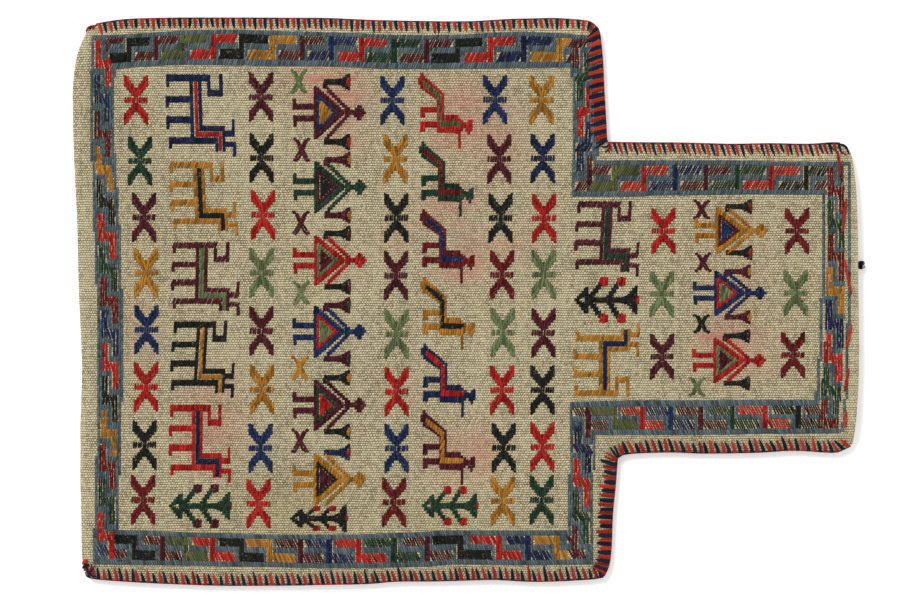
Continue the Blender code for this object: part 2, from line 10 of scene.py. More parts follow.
import bmesh
import bpy
import numpy as np
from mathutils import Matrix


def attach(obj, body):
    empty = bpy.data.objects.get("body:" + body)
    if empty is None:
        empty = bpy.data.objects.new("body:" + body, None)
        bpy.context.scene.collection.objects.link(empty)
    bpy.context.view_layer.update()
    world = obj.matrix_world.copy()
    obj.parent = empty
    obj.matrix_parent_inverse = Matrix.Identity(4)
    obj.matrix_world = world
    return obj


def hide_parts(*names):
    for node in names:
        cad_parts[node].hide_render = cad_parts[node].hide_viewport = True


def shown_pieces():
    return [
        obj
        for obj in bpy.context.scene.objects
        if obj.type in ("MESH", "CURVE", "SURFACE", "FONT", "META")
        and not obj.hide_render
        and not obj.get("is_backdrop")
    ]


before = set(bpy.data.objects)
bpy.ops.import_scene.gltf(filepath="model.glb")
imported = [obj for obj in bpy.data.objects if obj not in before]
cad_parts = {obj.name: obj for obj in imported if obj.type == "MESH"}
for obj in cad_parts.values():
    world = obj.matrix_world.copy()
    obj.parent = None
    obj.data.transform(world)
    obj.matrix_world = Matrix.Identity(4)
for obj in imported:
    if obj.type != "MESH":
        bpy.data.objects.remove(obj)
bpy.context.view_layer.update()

# %% [markdown]
# ## From the photo to metres
# Every place on the bag was read off the photo in pixels, which run right and down. One small
# function turns a pixel into metres in the frame of the solids, where X runs to the mouth and Y
# across the bag. The ribs of the weave gave the scale: 2.4 pixels are a rib of about 1.7 mm.

# %% The scale and the frame
PIXEL = 0.00072
MIDDLE_PX = (465.6, 301.75)
FRAME_SHIFT = (-0.00293, 0.00127)
PHOTO_CENTRE = (450, 300)


def metres(points):
    """Photo pixels, an array of x and y, in metres."""
    points = np.asarray(points, float)
    x = (points[..., 0] - MIDDLE_PX[0]) * PIXEL + FRAME_SHIFT[0]
    y = (MIDDLE_PX[1] - points[..., 1]) * PIXEL + FRAME_SHIFT[1]
    return np.stack([x, y], axis=-1)


print("the photo's centre in metres:", metres(PHOTO_CENTRE).round(4))

# %% [markdown]
# ## The outline
# A hand-woven bag is never quite straight, so each side is a line of points along the real edge.
# They start at the fold's upper corner and go round clockwise. A spline through the points would
# overshoot at the corners, so a gentle Catmull-Rom curve is drawn through them in short steps.

# %% The eight sides, in pixels
TOP = ((88, 27), (98, 24), (126, 20), (168, 18.7), (224, 18.5), (280, 18.7), (326, 19), (375, 21),
       (424, 22), (470, 22.2), (508, 20), (537, 19.3), (556, 19), (585, 21), (593.4, 24.3),
       (597.7, 29))
SHOULDER_UPPER = ((597.7, 29), (599.5, 37), (602, 63.6), (603, 86.5), (604.9, 120),
                  (605.8, 138), (607.8, 143))
NECK_TOP = ((607.8, 143), (645, 143.5), (690, 143.8), (731, 145), (769, 144.3), (807.6, 145),
            (833, 143.4), (844.5, 144.7), (850.3, 150.4))
MOUTH = ((850.3, 150.4), (852.2, 156.8), (856, 187), (857.9, 232), (858.3, 283), (859.2, 343.8),
         (858.6, 382), (856.7, 414), (854.7, 433), (852.8, 444.5))
NECK_LOW = ((852.8, 444.5), (843.3, 449), (833, 451.6), (794.8, 449.6), (756.5, 451.6),
            (705.5, 452.4), (673.4, 451.3), (638.4, 452.2), (623, 454), (618.7, 456.7))
SHOULDER_LOWER = ((618.7, 456.7), (616.6, 460), (614.5, 486), (611.7, 514), (610.3, 549),
                  (608, 566), (603.3, 576.6))
BOTTOM = ((603.3, 576.6), (589, 578.7), (540, 581), (505, 579.4), (490, 579), (438, 580.4),
          (396, 580.8), (368, 583), (326, 584), (270, 584.8), (224, 584.8), (182, 583.6),
          (126, 580.8), (91, 577.7), (85.4, 573))
FOLD = ((85.4, 573), (82, 562), (81, 549), (80.5, 514), (79.5, 479), (79.8, 444), (79.5, 430),
        (81.2, 374), (80, 332), (78, 290), (77, 248), (76.3, 220), (74.2, 178), (73, 150),
        (72, 107), (72, 88.6), (74.2, 66), (78.4, 48), (84.7, 34), (88, 27))


def curved(points, parts=4):
    """The points with a Catmull-Rom curve through them, each step cut in parts."""
    p = np.asarray(points, float)
    p = np.vstack([2 * p[0] - p[1], p, 2 * p[-1] - p[-2]])
    t = np.arange(parts)[:, None] / parts
    run = []
    for a, b, c, d in zip(p, p[1:], p[2:], p[3:]):
        run.append(0.5 * (2 * b + (c - a) * t + (2 * a - 5 * b + 4 * c - d) * t**2
                          + (3 * b - a - 3 * c + d) * t**3))
    return np.vstack([*run, p[-2:-1]])


SEWN = [curved(side) for side in (TOP, SHOULDER_UPPER, NECK_TOP, NECK_LOW, SHOULDER_LOWER, BOTTOM)]
FOLDED = curved(FOLD)
print("outline points:", sum(len(side) for side in SEWN) + len(FOLDED))

# %% [markdown]
# ## How high the cloth lies
# An empty kilim bag is thin at its seams and about 11 mm thick where the two stiff layers rest on
# each other. So the height of the front is worked out from the distance to the seams and to the
# fold. A few slow waves and a pucker along the seams keep it from looking pressed. Every later
# piece asks the same function for its height, so that it sits on the cloth.

# %% Heights
CLOTH = 0.0026
FULL_HALF = 0.0055
MIDDLE_Z = 0.0056
SEAM_HALF = 0.0021
SEAM_ROUND = 0.0016
SEAM_RISE = 0.0100
FOLD_ROUND = 0.0062
WAVE_HEIGHT = 0.00022
PUCKER_HEIGHT = 0.00018
PUCKER_REACH = 0.008
CALM_EDGE = 0.012
BATCH = 20000


def distance(points, lines):
    """From each point to the nearest of the lines, both in pixels."""
    points = np.atleast_2d(points)
    best = np.full(len(points), 1e9)
    for line in lines:
        a, b = line[:-1], line[1:]
        ab = b - a
        reach = (ab**2).sum(1) + 1e-12
        for start in range(0, len(points), BATCH):
            p = points[start:start + BATCH]
            t = ((p[:, None] - a) * ab).sum(2) / reach
            gap = p[:, None] - a - np.clip(t, 0, 1)[..., None] * ab
            nearest = np.sqrt((gap**2).sum(2)).min(1)
            best[start:start + BATCH] = np.minimum(best[start:start + BATCH], nearest)
    return best


def quarter(share):
    """A quarter of a circle: 0 at share 0, and 1 from share 1 on."""
    return np.sqrt(np.clip(1 - (1 - np.clip(share, 0, 1)) ** 2, 0, 1))


def half_height(points):
    """Half the bag's thickness at each pixel."""
    seam = distance(points, SEWN) * PIXEL
    fold = distance(points, [FOLDED]) * PIXEL
    rise = np.clip((seam - SEAM_ROUND) / SEAM_RISE, 0, 1)
    rise = rise * rise * (3 - 2 * rise)
    sewn = SEAM_HALF * quarter(seam / SEAM_ROUND) + (FULL_HALF - SEAM_HALF) * rise
    folded = FULL_HALF * quarter(fold / FOLD_ROUND)
    x, y = points[:, 0], points[:, 1]
    slow = (np.sin(x / 47 + 1.3 * np.sin(y / 83)) * np.cos(y / 61 + 0.8 * np.sin(x / 97))
            + 0.5 * np.sin(x / 23 + y / 31))
    pucker = np.sin(x / 6.1) * np.sin(y / 5.3 + 1) * np.exp(-seam / PUCKER_REACH)
    inside = np.clip(np.minimum(seam, fold) / CALM_EDGE, 0, 1)
    return np.minimum(sewn, folded) + inside * (WAVE_HEIGHT * slow + PUCKER_HEIGHT * pucker)


def front_height(points):
    return MIDDLE_Z + half_height(points)


print("front height at the middle, mm:", (1000 * front_height(np.array([[400.0, 300.0]]))).round(2))

# %% [markdown]
# ## A grid that follows the outline
# The cloth could be a flat face cut into squares, but its edge would be ragged. A Coons patch
# bends a grid of squares between four curved sides, so rows run like the wefts and columns like
# the warps, and the edge is clean. The body is one patch and the neck a second, which goes on
# from some of the body's rows. The rows lie closer at the edges, where the cloth turns round.

# %% Patches
STEP = 4.7
NEAR_EDGE = (0, 0.7, 1.8, 3.4)


def graded(length, fine_start, fine_end):
    """Shares of a length, a step apart, closer at the ends that ask for it."""
    start = list(NEAR_EDGE) if fine_start else [0]
    end = [length - v for v in reversed(NEAR_EDGE)] if fine_end else [length]
    count = max(1, round((end[0] - start[-1]) / STEP))
    middle = np.linspace(start[-1], end[0], count + 1)[1:-1]
    return np.concatenate([start, middle, end]) / length


def resampled(points, shares):
    """Points at those shares of a line's length."""
    line = np.asarray(points, float)
    steps = np.hypot(*np.diff(line, axis=0).T)
    along = np.concatenate([[0], np.cumsum(steps)]) / steps.sum()
    return np.column_stack([np.interp(shares, along, line[:, k]) for k in (0, 1)])


def coons(left, right, low, high, u, v):
    """A grid between four sides. Left and right have a point for each v, the others for each u."""
    u, v = u[:, None, None], v[None, :, None]
    flat = (1 - v) * low[:, None] + v * high[:, None] + (1 - u) * left[None] + u * right[None]
    corners = ((1 - u) * (1 - v) * low[0] + u * (1 - v) * low[-1]
               + (1 - u) * v * high[0] + u * v * high[-1])
    return flat - corners


BODY_SPAN = 515
NECK_SPAN = 243
LOWER_BAND, NECK_BAND, UPPER_BAND = 120, 314, 114
band_total = LOWER_BAND + NECK_BAND + UPPER_BAND
band_a = graded(LOWER_BAND, True, False)
band_b = graded(NECK_BAND, True, True)
band_c = graded(UPPER_BAND, False, True)
body_v = np.concatenate([band_a * LOWER_BAND, LOWER_BAND + band_b[1:] * NECK_BAND,
                         LOWER_BAND + NECK_BAND + band_c[1:] * UPPER_BAND]) / band_total
body_u = graded(BODY_SPAN, True, True)
neck_u = graded(NECK_SPAN, False, True)
low_row = len(band_a) - 1
high_row = low_row + len(band_b) - 1
inner_low, inner_high = np.array(NECK_LOW[-1]), np.array(NECK_TOP[0])
neck_line = inner_low + (inner_high - inner_low) * band_b[:, None]
right_side = np.vstack([resampled(SEWN[4][::-1], band_a), neck_line[1:],
                        resampled(SEWN[1][::-1], band_c)[1:]])
body = coons(resampled(FOLDED, body_v), right_side, resampled(SEWN[5][::-1], body_u),
             resampled(SEWN[0], body_u), body_u, body_v)
neck = coons(neck_line, resampled(curved(MOUTH)[::-1], band_b), resampled(SEWN[3][::-1], neck_u),
             resampled(SEWN[2], neck_u), neck_u, band_b)
print("body grid:", body.shape[:2], "neck grid:", neck.shape[:2])

# %% [markdown]
# ## The cloth as one closed shell
# Solidify would double the two layers where they meet at a seam. So the shell is built with its
# inside: the outer front and back share their points along the seams and the fold, and so do
# the inner front and back, which start a seam allowance further in. At the mouth the outer and
# inner layers are joined by the hem's edge. The bag stays open there, as the real one is.

# %% Where each grid point lies
SEAM_ALLOWANCE = 0.0075 / PIXEL
flat_points = np.vstack([body.reshape(-1, 2), neck[1:].reshape(-1, 2)])
body_rows = body.shape[1]
neck_rows = neck.shape[1]


def point_at(patch, i, j):
    """The number of a grid point. The neck's first column is the body's last."""
    if patch == "neck" and i == 0:
        return (body.shape[0] - 1) * body_rows + low_row + j
    if patch == "neck":
        return body.shape[0] * body_rows + (i - 1) * neck_rows + j
    return i * body_rows + j


closed = np.zeros(len(flat_points), bool)
for i in range(body.shape[0]):
    for j in range(body_rows):
        at_shoulder = i == body.shape[0] - 1 and not low_row < j < high_row
        if i == 0 or j in (0, body_rows - 1) or at_shoulder:
            closed[point_at("body", i, j)] = True
for i in range(neck.shape[0]):
    for j in (0, neck_rows - 1):
        closed[point_at("neck", i, j)] = True
mouth_points = [point_at("neck", neck.shape[0] - 1, j) for j in range(neck_rows)]
print("grid points:", len(flat_points), "on a seam or the fold:", int(closed.sum()))

# %% The inside, a seam allowance further in
edge_lines = SEWN + [FOLDED]
centre = np.array([[400.0, 300.0]])
ROUNDS = 12
PROBE, NO_SLOPE, PUSH = 0.5, 0.3, 0.6


def moved_in(points):
    """The points pushed away from the seams, until all are at least the allowance in."""
    moved = points.copy()
    for _ in range(ROUNDS):
        gap = distance(moved, edge_lines)
        short = gap < SEAM_ALLOWANCE
        near = moved[short]
        slope = np.column_stack([
            distance(near + (PROBE, 0), edge_lines) - distance(near - (PROBE, 0), edge_lines),
            distance(near + (0, PROBE), edge_lines) - distance(near - (0, PROBE), edge_lines)])
        on_edge = np.hypot(*slope.T) < NO_SLOPE
        slope[on_edge] = (centre - near)[on_edge]
        slope /= np.hypot(*slope.T)[:, None]
        moved[short] = near + slope * (SEAM_ALLOWANCE - gap[short])[:, None] * PUSH
    return moved


POCKET_RISE = 8
inner_points = moved_in(flat_points)
inner_points[mouth_points, 0] = flat_points[mouth_points, 0]
outer_half = half_height(flat_points)
inner_gap = distance(inner_points, edge_lines) - SEAM_ALLOWANCE
inner_half = np.clip(half_height(inner_points) - CLOTH, 0, None) * quarter(inner_gap / POCKET_RISE)
print("pocket at its widest, mm:", round(2000 * float(inner_half.max()), 2))

# %% The shell's mesh
points_out, points_in = metres(flat_points), metres(inner_points)
vertices, number = [], {}


def vertex(kind, k):
    """The number of a shell vertex: outer or inner, front or back. Closed points have only one."""
    layer, face = kind
    key = (layer, k) if closed[k] else (layer, face, k)
    if key not in number:
        x, y = (points_out if layer == "outer" else points_in)[k]
        half = (outer_half if layer == "outer" else inner_half)[k]
        z = MIDDLE_Z if closed[k] else MIDDLE_Z + (half if face == "front" else -half)
        number[key] = len(vertices)
        vertices.append((x, y, z))
    return number[key]


faces = []
for patch, grid in (("body", body), ("neck", neck)):
    for i in range(grid.shape[0] - 1):
        for j in range(grid.shape[1] - 1):
            ring = [point_at(patch, i, j), point_at(patch, i + 1, j),
                    point_at(patch, i + 1, j + 1), point_at(patch, i, j + 1)]
            for layer in ("outer", "inner"):
                for face in ("front", "back"):
                    loop = [vertex((layer, face), k) for k in ring]
                    faces.append(loop if (layer == "outer") == (face == "front") else loop[::-1])
for a, b in zip(mouth_points, mouth_points[1:]):
    for face in ("front", "back"):
        faces.append([vertex(("outer", face), a), vertex(("inner", face), a),
                      vertex(("inner", face), b), vertex(("outer", face), b)])


def mesh_object(name, verts, quads, smooth=True):
    """A new object from vertices and faces."""
    mesh = bpy.data.meshes.new(name)
    mesh.from_pydata(verts, [], quads)
    mesh.polygons.foreach_set("use_smooth", [smooth] * len(mesh.polygons))
    mesh.update()
    made = bpy.data.objects.new(name, mesh)
    bpy.context.scene.collection.objects.link(made)
    return made


def store(made, name, kind, values):
    """Numbers stored on an object's points, for its shader."""
    layer = made.data.attributes.new(name, kind, "POINT")
    layer.data.foreach_set("value" if kind == "FLOAT" else "vector", values)


cloth = mesh_object("kilim_cloth", vertices, faces)
bm = bmesh.new()
bm.from_mesh(cloth.data)
bmesh.ops.recalc_face_normals(bm, faces=bm.faces)
open_edges = sum(len(e.link_faces) != 2 for e in bm.edges)
bm.to_mesh(cloth.data)
bm.free()
print("cloth faces:", len(faces), "open edges:", open_edges)

# %% [markdown]
# ## Writing shaders as sums
# A shader is a web of nodes, which is hard to read in code. This class wraps one socket, so that
# a + b on two wires adds a Math node. Any other node comes from Wire.node, which takes the
# node's type, its settings and what goes into its sockets.

# %% The Wire class
class Wire:
    """A socket of the shader in hand, with sums."""
    tree = None

    def __init__(self, socket):
        self.socket = socket

    @classmethod
    def node(cls, kind, settings=None, values=None, out=0):
        made = cls.tree.nodes.new(kind)
        for name, value in (settings or {}).items():
            setattr(made, name, value)
        for name, value in (values or {}).items():
            if isinstance(value, Wire):
                cls.tree.links.new(value.socket, made.inputs[name])
            else:
                made.inputs[name].default_value = value
        return cls(made.outputs[out])

    @classmethod
    def maths(cls, operation, *terms, clamp=False):
        return cls.node("ShaderNodeMath", {"operation": operation, "use_clamp": clamp},
                        dict(enumerate(terms)))

    def __add__(self, other):
        return Wire.maths("ADD", self, other)

    def __sub__(self, other):
        return Wire.maths("SUBTRACT", self, other)

    def __rsub__(self, other):
        return Wire.maths("SUBTRACT", other, self)

    def __mul__(self, other):
        return Wire.maths("MULTIPLY", self, other)

    def __truediv__(self, other):
        return Wire.maths("DIVIDE", self, other)

    def __pow__(self, other):
        return Wire.maths("POWER", self, other)

    __radd__ = __add__
    __rmul__ = __mul__


def blend(a, b, share):
    """Two colours mixed by a share."""
    return Wire.node("ShaderNodeMix", {"data_type": "RGBA"}, {0: share, 6: a, 7: b}, out=2)


def clamped(wire):
    """The wire's value, held between 0 and 1."""
    return Wire.maths("MULTIPLY", wire, 1.0, clamp=True)


def noise(scale, detail, place):
    """Noise of that many waves a metre, from 0 to 1."""
    return Wire.node("ShaderNodeTexNoise", {}, {"Scale": scale, "Detail": detail,
                                                "Roughness": 0.55, "Vector": place})


def stretched_noise(place, scales):
    """Noise with its own number of waves a metre along each axis."""
    return noise(1.0, 3, Wire.node("ShaderNodeMapping", {}, {"Vector": place, "Scale": scales}))


def spot():
    """The place on the piece, in metres."""
    return Wire.node("ShaderNodeTexCoord", {}, {}, out=3)


def axis(wire, k):
    """The x, y or z of a vector."""
    return Wire.node("ShaderNodeSeparateXYZ", {}, {0: wire}, out=k)


def attribute(name, out=2):
    return Wire.node("ShaderNodeAttribute", {"attribute_name": name}, {}, out=out)


def bump(strength, distance, height):
    return Wire.node("ShaderNodeBump", {}, {"Strength": strength, "Distance": distance,
                                            "Height": height})


def linear(red, green, blue):
    """A colour as the photo shows it, 0 to 255, in the linear values that a shader takes."""
    return (*[(v / 255 / 12.92) if v < 11 else ((v / 255 + 0.055) / 1.055) ** 2.4
              for v in (red, green, blue)], 1.0)


def new_finish(name, roughness):
    """A material whose shader is ready to be wired, and that shader."""
    material = bpy.data.materials.new(name)
    material.use_nodes = True
    Wire.tree = material.node_tree
    shader = material.node_tree.nodes["Principled BSDF"]
    shader.inputs["Roughness"].default_value = roughness
    shader.inputs["Specular IOR Level"].default_value = 0.12
    shader.inputs["Sheen Weight"].default_value = 0.04
    shader.inputs["Sheen Roughness"].default_value = 0.5
    return material, shader


def wire_in(shader, name, wire):
    Wire.tree.links.new(wire.socket, shader.inputs[name])


reflected = [name for name in vars(Wire) if name.startswith("__r")]
print("one wire class, with", len(reflected), "reflected forms")

# %% [markdown]
# ## The plain weave
# The ground is weft-faced plain weave: thick warps run along X as ribs, and each weft shows as a
# row of small beads, which step half a bead over from one rib to the next. Modelling half a
# million beads is too much, so the shader draws them: a sine across each rib times a sine along
# it, shifted in every other row. The sum feeds both the colour and the bump. In the colour, the
# bead's rise is painted shade in the gaps between the beads and a painted highlight on their
# tops. Slow noise makes the uneven tones of undyed wool, and the stains are soft patches where
# red and blue dye has run.

# %% Stains as numbers on the cloth's points
PINK_STAINS = (
    (330, 88, 34, 26, 1.3), (468, 255, 20, 22, 0.7), (345, 140, 20, 16, 0.5),
    (460, 98, 30, 24, 0.75), (452, 135, 28, 18, 0.75), (448, 205, 30, 22, 0.75),
    (500, 140, 26, 40, 0.6), (505, 245, 22, 18, 0.5), (455, 268, 26, 14, 0.6),
    (484, 452, 14, 26, 0.6), (452, 455, 30, 26, 0.6), (212, 418, 32, 44, 0.8),
    (735, 348, 34, 34, 0.85), (710, 336, 12, 9, 0.9), (735, 235, 34, 24, 0.35),
    (735, 285, 30, 20, 0.4), (395, 240, 20, 16, 0.35), (545, 215, 18, 26, 0.35),
    (140, 330, 26, 60, 0.25), (400, 390, 24, 18, 0.35), (330, 265, 30, 24, 0.35))
BLUE_STAINS = (
    (148, 345, 22, 22, 0.5), (395, 112, 20, 24, 0.4), (455, 240, 24, 14, 0.4),
    (335, 340, 28, 22, 0.35), (262, 452, 22, 22, 0.4), (498, 110, 20, 20, 0.3))
BLEACHED = ((857, 300, 8, 170, 1.0), (84, 300, 10, 400, 0.22))
AGE_STAINS = (
    (300, 505, 70, 30, 0.8), (450, 515, 60, 18, 0.6), (170, 540, 60, 16, 0.4),
    (640, 440, 60, 14, 0.5), (840, 300, 16, 120, 0.4), (560, 60, 40, 18, 0.4))
STAINS = (("pink_stain", PINK_STAINS, (196, 112, 100), 0.50),
          ("blue_stain", BLUE_STAINS, (98, 106, 118), 0.30),
          ("age_stain", AGE_STAINS, (150, 128, 78), 0.34),
          ("bleached", BLEACHED, (226, 214, 182), 0.30))


def stain(points, blots):
    """How strong a stain is at each pixel."""
    total = np.zeros(len(points))
    for x, y, wide, tall, depth in blots:
        far = ((points[:, 0] - x) / wide) ** 2 + ((points[:, 1] - y) / tall) ** 2
        total += depth * np.exp(-far)
    return np.clip(total, 0, 1)


co = np.array([v.co for v in cloth.data.vertices])
pixels = np.column_stack([(co[:, 0] - FRAME_SHIFT[0]) / PIXEL + MIDDLE_PX[0],
                          MIDDLE_PX[1] - (co[:, 1] - FRAME_SHIFT[1]) / PIXEL])
on_front = (co[:, 2] > MIDDLE_Z + 0.001).astype(float)
for name, blots, _, _ in STAINS:
    values = stain(pixels, blots) * on_front
    store(cloth, name, "FLOAT", values.astype(np.float32))
    print(name, "mean", round(float(values.mean()), 3))

# %% The kilim finish
RIB = 0.00174
BEAD = 0.00182
# The light colour is ivory with a painted highlight for the bead tops. The dark one is painted
# shade for the gaps between the beads.
IVORY_BEAD_HIGHLIGHT = linear(219, 206, 167)
WEAVE_GAP_SHADE = linear(78, 67, 46)
BARK = linear(96, 74, 48)


def kilim_finish():
    material, shader = new_finish("kilim_plain_weave", 0.95)
    place = spot()
    drift = noise(90, 2, place) - 0.5
    jostle = noise(410, 1, place) - 0.5
    rib_at = (axis(place, 1) + drift * 0.0012 + jostle * 0.0006) / RIB
    row = Wire.maths("FLOOR", rib_at)
    across = Wire.maths("SINE", Wire.maths("FRACT", rib_at) * math.pi)
    bead_at = (axis(place, 0) + drift * 0.0045 + jostle * 0.0016) / BEAD + row * 0.5
    along = Wire.maths("SINE", Wire.maths("FRACT", bead_at) * math.pi)
    bead = across ** 0.7 * (0.20 + 0.80 * along)
    cell = Wire.node("ShaderNodeCombineXYZ", {}, {0: row, 1: Wire.maths("FLOOR", bead_at)})
    own = Wire.node("ShaderNodeTexWhiteNoise", {"noise_dimensions": "2D"}, {"Vector": cell})
    thread = noise(1500, 2, place)
    patchy = noise(26, 3, place)
    banded = stretched_noise(place, (330, 12, 40))
    ribbed = stretched_noise(place, (20, 560, 40))
    tone = (bead * (0.86 + 0.90 * own) + (thread - 0.5) * 0.85 + (patchy - 0.5) * 0.36
            + (banded - 0.5) * 0.36 + (ribbed - 0.5) * 0.28)
    # The bead's rise paints painted shade in the gaps and a painted highlight on the tops. The
    # wool's random tone, patches and fibres are added on top.
    colour = blend(WEAVE_GAP_SHADE, IVORY_BEAD_HIGHLIGHT, Wire.maths("SUBTRACT", tone, 0.06, clamp=True))
    fleck = Wire.maths("GREATER_THAN", noise(420, 1, place), 0.74)
    colour = blend(colour, BARK, fleck * 0.55)
    for name, _, dye, depth in STAINS:
        run = attribute(name) * (4.2 * ribbed - 1.2) * (0.4 + 1.2 * banded) * depth
        colour = blend(colour, linear(*dye), clamped(run))
    wire_in(shader, "Base Color", colour)
    wire_in(shader, "Normal", bump(0.8, 0.0006, bead + (thread - 0.5) * 0.3))
    return material


cloth.data.materials.append(kilim_finish())
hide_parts("woven_bag")
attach(cloth, "root")

# %% [markdown]
# ## The dyed wools
# The brocade and the seams are wool yarn in about a dozen dyes. One finish serves them all: it
# mixes a dark and a light tone of the dye by a number that each stitch carries, by the twist of
# the plies and by fine fibre noise. In the colour, the twist is painted shade in the grooves
# between the plies. The twist is drawn along each yarn from two numbers stored on
# its points, how far round and how far along, so it follows the yarn wherever it bends.

# %% Dyes and the wool finish
DYES = {
    "slate": (84, 98, 102), "red": (156, 25, 20), "dark_red": (95, 18, 21),
    "maroon": (70, 19, 29), "gold": (160, 107, 32), "navy": (20, 29, 60), "blue": (23, 38, 74),
    "black": (23, 23, 20), "green": (26, 52, 36), "light_green": (96, 108, 70),
    "olive": (80, 84, 50), "orange": (162, 46, 29), "dark_navy": (24, 25, 46),
}


FLECKS = {"black": 0.26, "olive": 0.40, "blue": 0.22, "slate": 0.30, "navy": 0.20,
          "orange": 0.0, "dark_navy": 0.0}
USUAL_FLECKS = 0.25
LINT = linear(150, 140, 112)
DARK_TONE, LIGHT_TONE = 0.30, 1.6


def wool_finish(dye):
    """A matt wool in two tones of a dye."""
    material, shader = new_finish(dye + "_wool", 0.92)
    base = linear(*DYES[dye])
    dark = (*[v * DARK_TONE for v in base[:3]], 1)
    light = (*[min(1, v * LIGHT_TONE + 0.006) for v in base[:3]], 1)
    strand = attribute("strand", out=1)
    turns = axis(strand, 1) + axis(strand, 0)
    twist_and_groove_shade = Wire.maths("SINE", turns * (2 * math.pi)) * 0.5 + 0.5
    fibre = noise(2300, 2, spot())
    uneven = noise(60, 2, spot())
    # The twist term is painted shade in the grooves between the plies. The stitch number, the fibre
    # and the unevenness are the wool's random tone.
    share = (attribute("shade") * 0.80 + twist_and_groove_shade * 0.18 + (fibre - 0.5) * 1.0
             + (uneven - 0.5) * 0.6 + 0.04)
    colour = blend(dark, light, clamped(share))
    fleck = Wire.maths("GREATER_THAN", noise(560, 1, spot()), 0.665)
    colour = blend(colour, LINT, fleck * FLECKS.get(dye, USUAL_FLECKS))
    wire_in(shader, "Base Color", colour)
    wire_in(shader, "Normal", bump(0.7, 0.0003, twist_and_groove_shade * 0.6 + fibre * 0.7))
    return material


WOOL = {dye: wool_finish(dye) for dye in DYES}
print("wools:", ", ".join(WOOL))

# %% [markdown]
# ## Brocade is wrapped weft
# The motifs are soumak: a dyed weft wraps round a few ribs at a time and leaves a small slanted
# float on the front. Flat coloured shapes would miss that relief, so each motif's outline is
# filled with floats. Columns 2.4 pixels apart are laid over it. Where a column is inside, the
# length is shared out into floats that fit. A motif's later shapes cut into its earlier ones.

# %% Filling a shape with floats
COLUMN = 2.4
FLOAT_LENGTH = 7.0
SHORTEST = 0.9
floats = {dye: [] for dye in DYES}
rng = np.random.default_rng(7)


def spans(shape, x):
    """Where the line at x is inside the shape, as pairs of y."""
    p = np.asarray(shape, float)
    q = np.roll(p, -1, axis=0)
    hit = (p[:, 0] > x) != (q[:, 0] > x)
    a, b = p[hit], q[hit]
    ys = np.sort(a[:, 1] + (x - a[:, 0]) / (b[:, 0] - a[:, 0]) * (b[:, 1] - a[:, 1]))
    return [(ys[k], ys[k + 1]) for k in range(0, len(ys) - 1, 2)]


def cut_from(runs, holes):
    """The runs with the holes taken out."""
    for low, high in holes:
        kept = []
        for a, b in runs:
            if high <= a or low >= b:
                kept.append((a, b))
                continue
            if low > a:
                kept.append((a, low))
            if high < b:
                kept.append((high, b))
        runs = kept
    return runs


def work(dye, shape, holes=(), lean=0.22, cover=0.98, length=FLOAT_LENGTH, bed=True, skew=0.0,
         still=0.0):
    """Fills a shape, in pixels, with floats of one dye, on a bed of that dye or on the bare cloth.
    The bed covers the cloth in the dye, drawn in its darkest tone as painted shade between the
    floats.

    Columns of floats are upright, so a shape is worked upright and its floats then shifted."""
    shape = np.asarray(shape, float)
    left, right = shape[:, 0].min(), shape[:, 0].max()
    columns = max(1, round((right - left) / COLUMN))
    wide = (right - left) / columns
    for k in range(columns):
        x = left + (k + 0.5) * wide
        cuts = [pair for hole in holes for pair in spans(hole, x)]
        for a, b in cut_from(spans(shape, x), cuts):
            if b - a < SHORTEST:
                continue
            count = max(1, round((b - a) / length))
            step = (b - a) / count
            for n in range(count):
                y = a + (n + 0.5) * step
                floats[dye].append((x + skew * (y - still), y, step, wide, cover, lean - skew, bed))


def motif(shapes, x, y, wide=1.0, tall=1.0, skew=0.0, **how):
    """Works shapes of (dye, points) round a place. Later shapes cut into earlier ones."""
    placed = []
    for dye, points in shapes:
        placed.append((dye, np.asarray(points, float) * (wide, tall) + (x, y)))
    for k, (dye, p) in enumerate(placed):
        work(dye, p, holes=[q for _, q in placed[k + 1:]], skew=skew, still=y, **how)


def bar(x0, y0, x1, y1):
    return ((x0, y0), (x1, y0), (x1, y1), (x0, y1))


print("a float covers", COLUMN, "by", FLOAT_LENGTH, "pixels")

# %% [markdown]
# ## The hooked border
# Round the edge runs a slate-blue band of hooked units: a bar, a step across and a second bar.
# The band wavers with the weaving, so each unit is laid out in a straight band first, as a place
# along it and a share of its width, and then bent between the band's two real edges.

# %% The band's edges, in pixels
TOP_OUTER = ((93, 35.7), (120, 34.4), (150, 33.3), (170, 31.2), (200, 30.2), (225, 29.4),
             (245, 29.5), (262, 30.8), (300, 31.6), (350, 33), (390, 34.9), (430, 35.4),
             (460, 34.5), (500, 32.3), (525, 31.6), (560, 33.4), (597, 36.4))
TOP_INNER = ((93, 69.6), (115, 69.4), (130, 67.6), (150, 66.1), (180, 64.8), (220, 65.3),
             (320, 66.2), (350, 67.3), (380, 68.7), (420, 68.9), (480, 68.4), (597, 67.4))
LOW_OUTER = ((93, 563.8), (120, 564.7), (200, 565.8), (260, 566.7), (300, 567.8), (350, 568.1),
             (400, 567.3), (430, 566.2), (460, 563.8), (500, 564.9), (540, 565.3), (594, 564))
LOW_INNER = ((93, 529.5), (118, 530), (150, 531.1), (180, 532), (220, 533.3), (260, 534.4),
             (330, 534.7), (370, 534.2), (400, 533.1), (420, 532.2), (440, 530.5), (490, 531),
             (594, 530.4))
FOLD_OUTER = ((35, 91.5), (75, 91.5), (110, 90.4), (140, 90.6), (170, 92), (200, 93.6), (230, 93.8),
              (260, 95.2), (300, 97), (340, 98), (400, 98.3), (440, 97), (480, 95.2), (565, 93))
